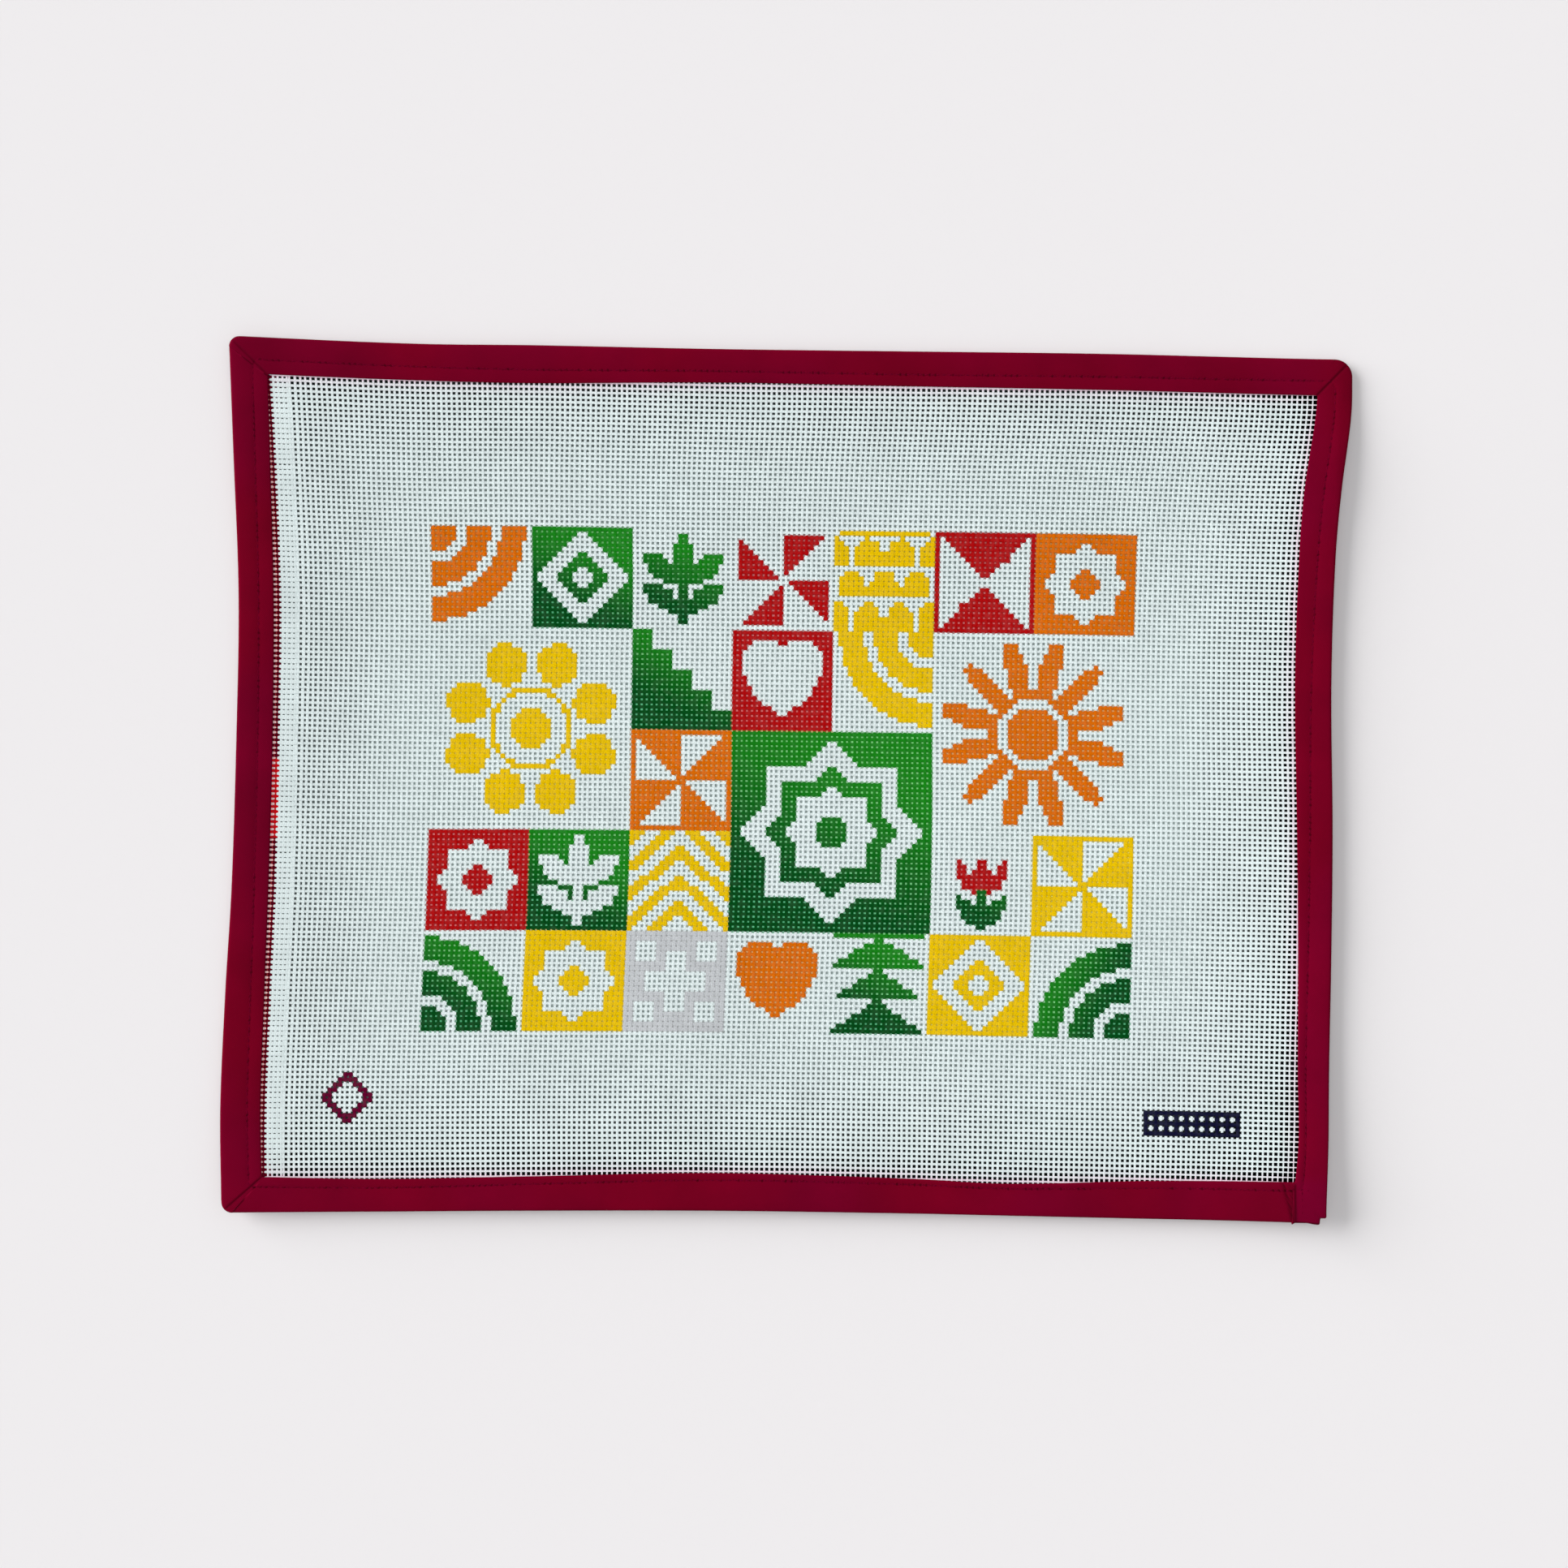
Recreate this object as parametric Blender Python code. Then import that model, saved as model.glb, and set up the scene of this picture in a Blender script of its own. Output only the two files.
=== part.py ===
"""A needlepoint canvas panel: a stiff open-weave canvas whose raw edge is bound in folded tape.

The panel lies face up on a surface. X runs along its width, Y up its height as it is read, and Z
out of its face. Two pieces are made: the canvas, one sheet, and the binding, one tape folded over
the canvas edge all the way round. The tape has a mitred fold at three corners, and at the fourth
its end is lapped over its start.
"""

import math

import bmesh
import bpy
from mathutils import Vector

# Cloth thicknesses and the gap that sewn pieces keep, in metres
CANVAS_THICK = 0.0010
TAPE_THICK = 0.0010
GAP = 0.0003

# How the tape holds the canvas, in metres
FOLD_ROUND = 0.0014  # from the tape's outer edge to where its two layers lie flat
SLOT_START = 0.0020  # from the outer edge to the bottom of the slot between the layers
CANVAS_INSET = 0.0036  # from the outer edge to the canvas's cut edge
BACK_REACH = 0.0022  # how much further in the back layer reaches than the front one
STITCH_DIP = 0.00025  # how deep the front layer is drawn in along its stitch line
EDGE_SOFT = 0.0003  # the rounding of the tape's inner edges
FOLD_TURN = 0.30  # where the fold's round is steepest, as a share of FOLD_ROUND
FOLD_SHOULDER = 0.16  # how far from the top and the bottom that is, as a share of the tape's whole height

# Corners of the tape, in metres
CORNER_ROUND = {"top_left": 0.0040, "top_right": 0.0062, "bottom_left": 0.0042, "bottom_right": 0.0010}
INNER_ROUND = 0.0006
MITRE_DIP = 0.0004  # how deep a mitre's folded line lies
MITRE_HALF = 0.10  # its half width, as a share of the corner's turn
LAP_RISE = 0.0006  # how much higher the tape's end lies, on top of its start
LAP_DROP = 0.0014  # how far its cut end hangs past the bottom edge
LAP_NOTCH = 0.0030  # the width of the nick at the end's outer side
LAP_FADE = 0.0160  # the length over which the end comes down to the canvas again

# How the panel lies, in metres
SAG_START = 0.0190  # from the outer edge, inside which the canvas rides on the tape's back layer
SAG_LENGTH = 0.0420  # over which it comes down to the surface

# The panel's edges. at: place along the side; edge: the tape's outer edge; width: the front layer's width;
# stitch: how far the stitch line is from the front layer's inner edge.
TOP = (
    # at, edge, width, stitch
    (-0.214, 0.1682, 0.0143, 0.0045),
    (-0.145, 0.1666, 0.0142, 0.0048),
    (-0.100, 0.1668, 0.0147, 0.0050),
    (-0.030, 0.1665, 0.0130, 0.0045),
    (0.045, 0.1668, 0.0135, 0.0046),
    (0.120, 0.1671, 0.0140, 0.0048),
    (0.213, 0.1665, 0.0142, 0.0047),
)
BOTTOM = (
    # at, edge, width, stitch
    (-0.214, -0.1711, 0.0140, 0.0019),
    (-0.158, -0.1700, 0.0126, 0.0018),
    (-0.100, -0.1687, 0.0132, 0.0019),
    (-0.026, -0.1675, 0.0145, 0.0024),
    (0.050, -0.1673, 0.0134, 0.0022),
    (0.088, -0.1675, 0.0123, 0.0019),
    (0.145, -0.1678, 0.0146, 0.0026),
    (0.208, -0.1684, 0.0156, 0.0030),
)
LEFT = (
    # at, edge, width, stitch
    (-0.169, -0.2160, 0.0158, 0.0062),
    (-0.131, -0.2175, 0.0164, 0.0066),
    (-0.088, -0.2166, 0.0157, 0.0063),
    (-0.046, -0.2148, 0.0139, 0.0058),
    (0.011, -0.2139, 0.0138, 0.0056),
    (0.068, -0.2139, 0.0133, 0.0054),
    (0.124, -0.2167, 0.0144, 0.0056),
    (0.166, -0.2188, 0.0155, 0.0060),
)
RIGHT = (
    # at, edge, width, stitch
    (-0.163, 0.2120, 0.0128, 0.0027),
    (-0.138, 0.2125, 0.0116, 0.0028),
    (-0.110, 0.2122, 0.0114, 0.0033),
    (-0.067, 0.2120, 0.0127, 0.0044),
    (-0.017, 0.2117, 0.0136, 0.0055),
    (0.040, 0.2103, 0.0139, 0.0062),
    (0.089, 0.2110, 0.0139, 0.0066),
    (0.117, 0.2130, 0.0142, 0.0069),
    (0.146, 0.2166, 0.0144, 0.0070),
    (0.165, 0.2171, 0.0143, 0.0070),
)

# How the stiff panel bows up off the surface along each side.
# rise: its height at the side's outer edge; reach: how far in the bow goes.
BOWS = {
    "top": {"rise": 0.0024, "reach": 0.140},
    "bottom": {"rise": 0.0030, "reach": 0.085},
    "left": {"rise": 0.0016, "reach": 0.060},
    "right": {"rise": 0.0040, "reach": 0.060},
}

# How finely the shapes are cut
LONG_STEPS = 22
SHORT_STEPS = 18
CORNER_STEPS = 6
CANVAS_COLUMNS = 34
CANVAS_ROWS = 27

CANVAS_COLOUR = (0.78, 0.83, 0.82, 1.0)
TAPE_COLOUR = (0.145, 0.0, 0.012, 1.0)


def smooth(share):
    """0 to 1 with level ends."""
    share = min(1.0, max(0.0, share))
    return share * share * (3 - 2 * share)


def along(rows, at, column):
    """A table's column at a place between its rows, on a smooth curve through them."""
    last = len(rows) - 1
    k = 0
    while k < last - 1 and at > rows[k + 1][0]:
        k += 1
    before, low, high, after = (rows[min(last, max(0, n))] for n in (k - 1, k, k + 1, k + 2))
    span = high[0] - low[0]
    t = min(1.0, max(0.0, (at - low[0]) / span))
    slope_low = (high[column] - before[column]) / (high[0] - before[0]) * span
    slope_high = (after[column] - low[column]) / (after[0] - low[0]) * span
    return (
        (2 * t**3 - 3 * t**2 + 1) * low[column]
        + (t**3 - 2 * t**2 + t) * slope_low
        + (3 * t**2 - 2 * t**3) * high[column]
        + (t**3 - t**2) * slope_high
    )


def edge_line(rows, at, inward, further):
    """The across-side coordinate of a side's outer edge, and `further` in from it."""
    return along(rows, at, 1) + inward * further


def inner_line(rows, at, inward, further):
    """The across-side coordinate of a side's inner edge, and `further` in from it."""
    return along(rows, at, 1) + inward * (along(rows, at, 2) + further)


def stitch_line(rows, at, inward, further):
    """The across-side coordinate of a side's line of stitches, and `further` in from it."""
    return along(rows, at, 1) + inward * (along(rows, at, 2) - along(rows, at, 3) + further)


def corner_point(side, end, x_line, y_line):
    """Where a side line x_line(y) and an end line y_line(x) meet, near x = side and y = end."""
    x, y = side, end
    for _ in range(4):
        x, y = x_line(y), y_line(x)
    return Vector((x, y))


def lines_at(kind, further=0.0):
    """The four lines of the panel at its outer edge, inner edge or stitches, and `further` in."""
    line = {"outer": edge_line, "inner": inner_line, "stitched": stitch_line}[kind]
    return {
        "top": lambda x: line(TOP, x, -1, further),
        "bottom": lambda x: line(BOTTOM, x, 1, further),
        "left": lambda y: line(LEFT, y, 1, further),
        "right": lambda y: line(RIGHT, y, -1, further),
    }


def corners_of(lines):
    """Where the four lines meet, by corner name."""
    return {
        "top_left": corner_point(LEFT[0][1], TOP[0][1], lines["left"], lines["top"]),
        "top_right": corner_point(RIGHT[0][1], TOP[0][1], lines["right"], lines["top"]),
        "bottom_left": corner_point(LEFT[0][1], BOTTOM[0][1], lines["left"], lines["bottom"]),
        "bottom_right": corner_point(RIGHT[0][1], BOTTOM[0][1], lines["right"], lines["bottom"]),
    }


def ring_points(lines, rounds, lapped=False):
    """Points once round the panel on the given lines, anticlockwise from the bottom left corner's end.

    Each side has its steps and each corner a rounded turn. The bottom right corner may take the
    shape of the lapped end.
    """
    corner = corners_of(lines)
    ring = []

    def side(name, start, end, steps):
        upright = name in ("left", "right")
        for k in range(steps):
            share = k / steps
            if upright:
                y = start.y + (end.y - start.y) * share
                ring.append(Vector((lines[name](y), y)))
            else:
                x = start.x + (end.x - start.x) * share
                ring.append(Vector((x, lines[name](x))))

    def turn(name, out_x, out_y, first_angle):
        r = rounds[name]
        centre = corner[name] - Vector((out_x * r, out_y * r))
        for k in range(CORNER_STEPS + 1):
            angle = first_angle + math.pi / 2 * k / CORNER_STEPS
            ring.append(centre + r * Vector((math.cos(angle), math.sin(angle))))

    def leave(name, out_x, out_y, is_upright):
        r = rounds[name]
        step = Vector((0, -out_y * r)) if is_upright else Vector((-out_x * r, 0))
        return corner[name] + step

    side("bottom", leave("bottom_left", -1, -1, False), leave("bottom_right", 1, -1, False), LONG_STEPS)
    if lapped:
        ring.extend(lapped_end(corner["bottom_right"]))
    else:
        turn("bottom_right", 1, -1, -math.pi / 2)
    side("right", leave("bottom_right", 1, -1, True), leave("top_right", 1, 1, True), SHORT_STEPS)
    turn("top_right", 1, 1, 0.0)
    side("top", leave("top_right", 1, 1, False), leave("top_left", -1, 1, False), LONG_STEPS)
    turn("top_left", -1, 1, math.pi / 2)
    side("left", leave("top_left", -1, 1, True), leave("bottom_left", -1, -1, True), SHORT_STEPS)
    turn("bottom_left", -1, -1, math.pi)
    return ring


def lapped_end(corner):
    """The outer line of the tape's cut end, in as many points as a rounded turn has."""
    width = along(RIGHT, RIGHT[0][0], 2)
    seam = corner.x - width
    low = corner.y - LAP_DROP
    nick = corner.x - LAP_NOTCH
    soft = FOLD_ROUND / 2
    return [
        Vector((seam, corner.y)),
        Vector((seam + soft, low)),
        Vector(((seam + nick) / 2, low + soft / 3)),
        Vector((nick, low - soft / 3)),
        Vector((nick + soft, corner.y)),
        Vector((corner.x - soft / 2, corner.y)),
        Vector((corner.x, corner.y + soft)),
    ]


def bow(name, inside):
    """How far the panel is off the surface at a distance inside one of its sides."""
    return BOWS[name]["rise"] * max(0.0, 1 - max(0.0, inside) / BOWS[name]["reach"]) ** 2


def lift(x, y):
    """How far the panel is off the surface because its sides bow up."""
    return (
        bow("top", TOP[0][1] - y)
        + bow("bottom", y - BOTTOM[0][1])
        + bow("left", x - LEFT[0][1])
        + bow("right", RIGHT[0][1] - x)
    )


def panel_centre():
    """The middle of the tape's outer edge, which becomes the part's own origin."""
    ring = ring_points(lines_at("outer"), CORNER_ROUND, lapped=True)
    xs = [p.x for p in ring]
    ys = [p.y for p in ring]
    return Vector(((min(xs) + max(xs)) / 2, (min(ys) + max(ys)) / 2))


def mitre_dip(station):
    """How deep the front layer lies at a station because of a mitre's folded line."""
    corner_length = CORNER_STEPS + 1
    start = LONG_STEPS
    for steps_after, is_mitre in ((SHORT_STEPS, False), (LONG_STEPS, True), (SHORT_STEPS, True), (0, True)):
        middle = start + CORNER_STEPS / 2
        if is_mitre and abs(station - middle) < MITRE_HALF * CORNER_STEPS:
            return MITRE_DIP
        start += corner_length + steps_after
    return 0.0


def lap_rise(station, point, corner):
    """How much higher the front layer lies at a station because the tape's end is over its start."""
    first = LONG_STEPS + 1
    last = LONG_STEPS + CORNER_STEPS
    if first <= station <= last:
        return LAP_RISE
    if last < station < last + SHORT_STEPS:
        return LAP_RISE * (1 - smooth((point.y - corner.y) / LAP_FADE))
    return 0.0


def tape_section(outer, stitched_at, front, back, rise, dip):
    """The tape's folded section at one station: (plan point, height) pairs, from its front edge."""
    top = 2 * TAPE_THICK + CANVAS_THICK + 2 * GAP
    to_front = front - outer
    to_back = back - outer
    width = to_front.length
    reach = to_back.length

    def on_front(distance, height):
        return outer + to_front * (distance / width), height

    def on_back(distance, height):
        return outer + to_back * (distance / reach), height

    stitched = (stitched_at - outer).length
    fold = FOLD_ROUND
    return [
        on_front(width, top - TAPE_THICK),
        on_front(width, top - EDGE_SOFT + rise - dip),
        on_front(width - EDGE_SOFT, top + rise - dip),
        on_front((width + stitched) / 2, top + rise - dip),
        on_front(stitched, top + rise - dip - STITCH_DIP),
        on_front((stitched + fold) / 2, top + rise - dip),
        on_front(fold, top + rise - dip),
        on_front(fold * FOLD_TURN, top * (1 - FOLD_SHOULDER) + rise / 2),
        on_front(0.0, top / 2),
        on_back(fold * FOLD_TURN, top * FOLD_SHOULDER),
        on_back(fold, 0.0),
        on_back(reach - EDGE_SOFT, 0.0),
        on_back(reach, EDGE_SOFT),
        on_back(reach, TAPE_THICK),
        on_back(SLOT_START, TAPE_THICK),
        on_front(SLOT_START, top - TAPE_THICK),
    ]


def new_object(name, mesh, colour, roughness):
    """An object of a mesh, with its own plain material."""
    material = bpy.data.materials.new(name + "_cloth")
    material.use_nodes = True
    shader = material.node_tree.nodes["Principled BSDF"]
    shader.inputs["Base Color"].default_value = colour
    shader.inputs["Roughness"].default_value = roughness
    shader.inputs["Metallic"].default_value = 0.0
    mesh.materials.append(material)
    made = bpy.data.objects.new(name, mesh)
    bpy.context.scene.collection.objects.link(made)
    return made


def make_binding(centre):
    """One tape, folded over the canvas edge and closed round the panel."""
    outer_lines = lines_at("outer")
    inner_rounds = {name: INNER_ROUND for name in CORNER_ROUND}
    outer = ring_points(outer_lines, CORNER_ROUND, lapped=True)
    stitches = ring_points(lines_at("stitched"), inner_rounds)
    front = ring_points(lines_at("inner"), inner_rounds)
    back = ring_points(lines_at("inner", BACK_REACH), inner_rounds)
    lap_corner = corners_of(lines_at("inner"))["bottom_right"]
    mesh = bmesh.new()
    rings = []
    for station, (out, sewn, near, far) in enumerate(zip(outer, stitches, front, back)):
        rise = lap_rise(station, near, lap_corner)
        section = tape_section(out, sewn, near, far, rise, mitre_dip(station))
        rings.append(
            [
                mesh.verts.new((p.x - centre.x, p.y - centre.y, height + lift(p.x, p.y)))
                for p, height in section
            ]
        )
    for k, ring in enumerate(rings):
        after = rings[(k + 1) % len(rings)]
        for n in range(len(ring)):
            m = (n + 1) % len(ring)
            mesh.faces.new((ring[n], after[n], after[m], ring[m]))
    bmesh.ops.recalc_face_normals(mesh, faces=mesh.faces)
    data = bpy.data.meshes.new("binding")
    mesh.to_mesh(data)
    mesh.free()
    return new_object("binding", data, TAPE_COLOUR, 0.8)


def make_canvas(centre):
    """The canvas sheet, whose cut edge lies in the tape's slot and whose middle lies on the surface."""
    lines = lines_at("outer", CANVAS_INSET)
    corner = corners_of(lines)
    mesh = bmesh.new()
    bmesh.ops.create_grid(mesh, x_segments=CANVAS_COLUMNS, y_segments=CANVAS_ROWS, size=0.5)
    ride = TAPE_THICK + GAP
    for vert in mesh.verts:
        across, up = vert.co.x + 0.5, vert.co.y + 0.5
        low = corner["bottom_left"].lerp(corner["bottom_right"], across)
        high = corner["top_left"].lerp(corner["top_right"], across)
        near = corner["bottom_left"].lerp(corner["top_left"], up)
        far = corner["bottom_right"].lerp(corner["top_right"], up)
        x = lines["left"](near.y) * (1 - across) + lines["right"](far.y) * across
        y = lines["bottom"](low.x) * (1 - up) + lines["top"](high.x) * up
        inside = CANVAS_INSET + min(
            x - lines["left"](y), lines["right"](y) - x, y - lines["bottom"](x), lines["top"](x) - y
        )
        sag = smooth((inside - SAG_START) / SAG_LENGTH)
        vert.co = (x - centre.x, y - centre.y, ride * (1 - sag) + lift(x, y))
    data = bpy.data.meshes.new("canvas")
    mesh.to_mesh(data)
    mesh.free()
    canvas = new_object("canvas", data, CANVAS_COLOUR, 0.9)
    thicken = canvas.modifiers.new("cloth thickness", "SOLIDIFY")
    thicken.thickness = CANVAS_THICK
    thicken.offset = 1.0
    return canvas


def main():
    for old in list(bpy.data.objects):
        bpy.data.objects.remove(old)
    centre = panel_centre()
    make_canvas(centre)
    make_binding(centre)


main()
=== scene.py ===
"""A needlepoint canvas panel: its woven threads, its painted chart, its folded tape and its stitches.

Each operator makes one group of pieces over the solids of the frame. Lengths are in metres.
"""

import math

import bpy
import numpy as np
from bpy.props import FloatProperty, FloatVectorProperty, IntProperty, PointerProperty
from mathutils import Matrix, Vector, noise


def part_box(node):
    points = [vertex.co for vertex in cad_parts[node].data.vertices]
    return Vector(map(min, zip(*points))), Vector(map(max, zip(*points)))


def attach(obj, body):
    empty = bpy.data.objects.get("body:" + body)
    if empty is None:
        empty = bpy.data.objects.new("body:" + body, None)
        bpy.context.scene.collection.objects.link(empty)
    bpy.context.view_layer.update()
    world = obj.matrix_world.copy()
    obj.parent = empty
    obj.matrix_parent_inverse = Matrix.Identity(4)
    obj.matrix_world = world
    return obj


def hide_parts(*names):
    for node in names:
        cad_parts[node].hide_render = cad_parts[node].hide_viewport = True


bl_info = {
    "name": "Needlepoint Canvas Panel",
    "version": (1, 0, 0),
    "blender": (4, 5, 0),
    "location": "View3D > Sidebar > Needlepoint",
    "description": "Weaves, paints, binds and lights a needlepoint canvas panel",
    "category": "Object",
}

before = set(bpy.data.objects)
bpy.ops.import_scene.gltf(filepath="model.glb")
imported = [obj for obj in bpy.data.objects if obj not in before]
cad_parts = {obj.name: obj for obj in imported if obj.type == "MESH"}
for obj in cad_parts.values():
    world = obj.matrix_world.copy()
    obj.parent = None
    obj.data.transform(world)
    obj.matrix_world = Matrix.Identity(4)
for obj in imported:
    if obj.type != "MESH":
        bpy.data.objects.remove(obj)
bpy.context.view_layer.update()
MM = 0.001

# The panel's sides. at: place along the side; edge: the tape's outer edge; width: the front layer's
# width; stitch: how far the stitch line is from the front layer's inner edge; woven: how far in the
# canvas's own woven edge is set.
TOP = (
    # at, edge, width, stitch
    (-0.214, 0.1682, 0.0143, 0.0045),
    (-0.145, 0.1666, 0.0142, 0.0048),
    (-0.100, 0.1668, 0.0147, 0.0050),
    (-0.030, 0.1665, 0.0130, 0.0045),
    (0.045, 0.1668, 0.0135, 0.0046),
    (0.120, 0.1671, 0.0140, 0.0048),
    (0.213, 0.1665, 0.0142, 0.0047),
)
BOTTOM = (
    # at, edge, width, stitch
    (-0.214, -0.1711, 0.0140, 0.0019),
    (-0.158, -0.1700, 0.0126, 0.0018),
    (-0.100, -0.1687, 0.0132, 0.0019),
    (-0.026, -0.1675, 0.0145, 0.0024),
    (0.050, -0.1673, 0.0134, 0.0022),
    (0.088, -0.1675, 0.0123, 0.0019),
    (0.145, -0.1678, 0.0146, 0.0026),
    (0.208, -0.1680, 0.0156, 0.0030),
)
LEFT = (
    # at, edge, width, stitch, woven
    (-0.169, -0.2160, 0.0159, 0.0062, 0.0011),
    (-0.131, -0.2175, 0.0156, 0.0062, 0.0016),
    (-0.088, -0.2166, 0.0152, 0.0061, 0.0015),
    (-0.046, -0.2148, 0.0143, 0.0060, 0.0008),
    (0.011, -0.2139, 0.0141, 0.0058, 0.0003),
    (0.068, -0.2139, 0.0136, 0.0056, 0.0000),
    (0.124, -0.2167, 0.0142, 0.0056, -0.0004),
    (0.166, -0.2188, 0.0147, 0.0058, -0.0020),
)
RIGHT = (
    # at, edge, width, stitch
    (-0.163, 0.2111, 0.0131, 0.0027),
    (-0.138, 0.2118, 0.0115, 0.0028),
    (-0.110, 0.2118, 0.0120, 0.0033),
    (-0.067, 0.2120, 0.0127, 0.0044),
    (-0.017, 0.2117, 0.0136, 0.0055),
    (0.040, 0.2103, 0.0139, 0.0062),
    (0.089, 0.2110, 0.0139, 0.0066),
    (0.117, 0.2130, 0.0142, 0.0069),
    (0.146, 0.2166, 0.0137, 0.0065),
    (0.165, 0.2168, 0.0131, 0.0059),
)
EDGE, WIDTH, STITCH, WOVEN = 1, 2, 3, 4
SIDES = {"top": TOP, "bottom": BOTTOM, "left": LEFT, "right": RIGHT}
INWARD = {"top": -1, "bottom": 1, "left": 1, "right": -1}

# How the stiff panel bows up off the surface along each side.
# rise: its height at the side's outer edge; reach: how far in the bow goes.
BOWS = {
    "top": {"rise": 0.0024, "reach": 0.140},
    "bottom": {"rise": 0.0042, "reach": 0.090},
    "left": {"rise": 0.0016, "reach": 0.060},
    "right": {"rise": 0.0040, "reach": 0.060},
}
# The top right corner lies lower than the rest: by what share, and from where and over what length
# that comes in, upwards and across
LOW_CORNER = {"share": 0.75, "up": (0.115, 0.045), "across": (0.120, 0.080)}
# Where the canvas starts to slope from the tape down to the surface, and the length of its slope
SAG_START = 0.0190
SAG_LENGTH = 0.0420

# How far in from the panel's edge the table takes its painted shade colour below the canvas
UNDER_TAPE = (0.008, 0.014)
# The painted shade on the table under each bowed side: from and to how far in it lightens, and how dark it
# starts
SHADE_UNDER = {
    "top": (0.018, 0.050, 0.10),
    "bottom": (0.020, 0.068, 0.02),
    "left": (0.010, 0.080, 0.40),
    "right": (0.020, 0.068, 0.01),
}
# The same painted shade under the corners that stand up most, by distance from the corner
SHADE_AT_CORNERS = {
    "bottom_right": (0.040, 0.130, 0.25),
    "bottom_left": (0.030, 0.075, 0.40),
    "top_right": (0.030, 0.060, 0.40),
}

# How round the tape's corners are, outside and inside
CORNER_ROUND = {"top_left": 0.0040, "top_right": 0.0068, "bottom_left": 0.0042, "bottom_right": 0.0028}
INNER_ROUND = 0.0006
# How far in from the tape's fold the canvas is cut
CANVAS_INSET = 0.0036
# How far the back layer reaches in past the front one
BACK_REACH = {"top": -0.0006, "bottom": -0.0006, "left": 0.0034, "right": -0.0006}
# The tape's cut end, lapped over the bottom right corner: how far it hangs past the corner, how far
# left of the corner its notch is, how high the notch is, and how much of the start it hides
LAP_DROP = 0.0002
LAP_NOTCH = 0.0030
LAP_RAISED = 0.0020
LAP_HIDDEN = 0.0050
# The outline of that end, from the seam round to the right side. across_from and up_from name the
# point that each place is measured from.
LAP_OUTLINE = (
    # across_from, across, up_from, up
    ("seam", -0.0002, "corner", -0.0001),
    ("seam", 0.0, "corner", -0.0008),
    ("seam", 0.0006, "low", -0.0002),
    ("seam", 0.0018, "low", 0.0004),
    ("middle", 0.0, "low", 0.0003),
    ("notch", -0.0006, "low", -0.0004),
    ("notch", 0.0004, "low", -0.0002),
    ("notch", 0.0007, "raised", 0.0),
    ("corner", -0.0004, "raised", 0.0),
    ("corner", 0.0, "raised", 0.0005),
)
# Points along the tape: on a long side, on a short side and round a corner
LONG_STEPS, SHORT_STEPS, TURN_STEPS = 190, 150, 28

# The woven edge on the left, as places of its warps from the tape's outer edge. The first one is
# the catch thread, which stands a little outside the close band that the others make.
SELVAGE_WARPS = (0.0146, 0.0171, 0.0188, 0.0206, 0.0222, 0.0232)
# Where a weft is drawn in between the catch thread and the band, and where it fills out again
WEFT_NECK = 0.0155
WEFT_SHOULDER = 0.0159
SELVAGE_BAND = (0.0166, 0.0226)  # between these the wefts fill it closely
# The first and last of the other threads, from the left and bottom edges
FIRST_PLAIN_WARP = 0.0252
LAST_WARP = 0.4146
FIRST_WEFT = 0.0113
LAST_WEFT = 0.3222
PANEL_ACROSS = 0.4250  # between the outer edges at mid height
PANEL_UP = 0.3340  # between them at mid width
WOVEN_FADE = 0.060  # how far in the threads follow the woven edge
# The widths of the wefts where they are drawn in and at the catch thread, of that thread itself and
# of the first plain warps, as shares of the others'
NECK_WIDTH = 0.30
LOOP_WIDTH = 0.78
CATCH_WIDTH = 0.40
FIRST_PLAIN_WIDTHS = (1.25, 1.10)
WIDTH_VARIES = 0.07  # by how much a thread is wider and narrower along its length
# Over how many threads it strays from side to side, and is wider and narrower
STRAY_PITCHES, WIDTH_PITCHES = 9, 5
# How much thinner threads are beside the tape: the share at the tape, and how soon that fades
DRAWN_THIN = {"right": (0.32, 0.0050), "top": (0.20, 0.0040), "bottom": (0.36, 0.0060)}
# The same at the two corners on the right, and from where and over what length they begin
DRAWN_AT_CORNERS = (0.20, 0.022)
DRAWN_BELOW, DRAWN_ABOVE = (-0.070, 0.040), (0.125, 0.020)
# How much dye covers the loops and the catch thread. A thread that is covered by 1 is painted, and
# its paint makes it wider, a pale paint most: one with at least this much green in it.
LOOPS_COVERED, CATCH_COVERED = 0.95, 0.99
PALE_PAINT = 0.4
# How far the threads of the woven edge lie over and under each other, as shares of the dip
BAND_WARPS_UNDER, BAND_WEFTS_OVER = -0.5, 0.7


def smooth(share):
    """0 to 1 with level ends."""
    share = np.clip(share, 0.0, 1.0)
    return share * share * (3 - 2 * share)


def along(rows, at, column):
    """A table's column at places between its rows, on a smooth curve through them."""
    table = np.array(rows)
    places, values = table[:, 0], table[:, column]
    last = len(rows) - 1
    before = np.maximum(np.arange(last + 1) - 1, 0)
    after = np.minimum(np.arange(last + 1) + 1, last)
    slopes = (values[after] - values[before]) / (places[after] - places[before])
    at = np.asarray(at, float)
    k = np.clip(np.searchsorted(places, at, side="right") - 1, 0, last - 1)
    span = places[k + 1] - places[k]
    t = np.clip((at - places[k]) / span, 0.0, 1.0)
    return (
        (2 * t**3 - 3 * t**2 + 1) * values[k]
        + (t**3 - 2 * t**2 + t) * slopes[k] * span
        + (3 * t**2 - 2 * t**3) * values[k + 1]
        + (t**3 - t**2) * slopes[k + 1] * span
    )


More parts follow.
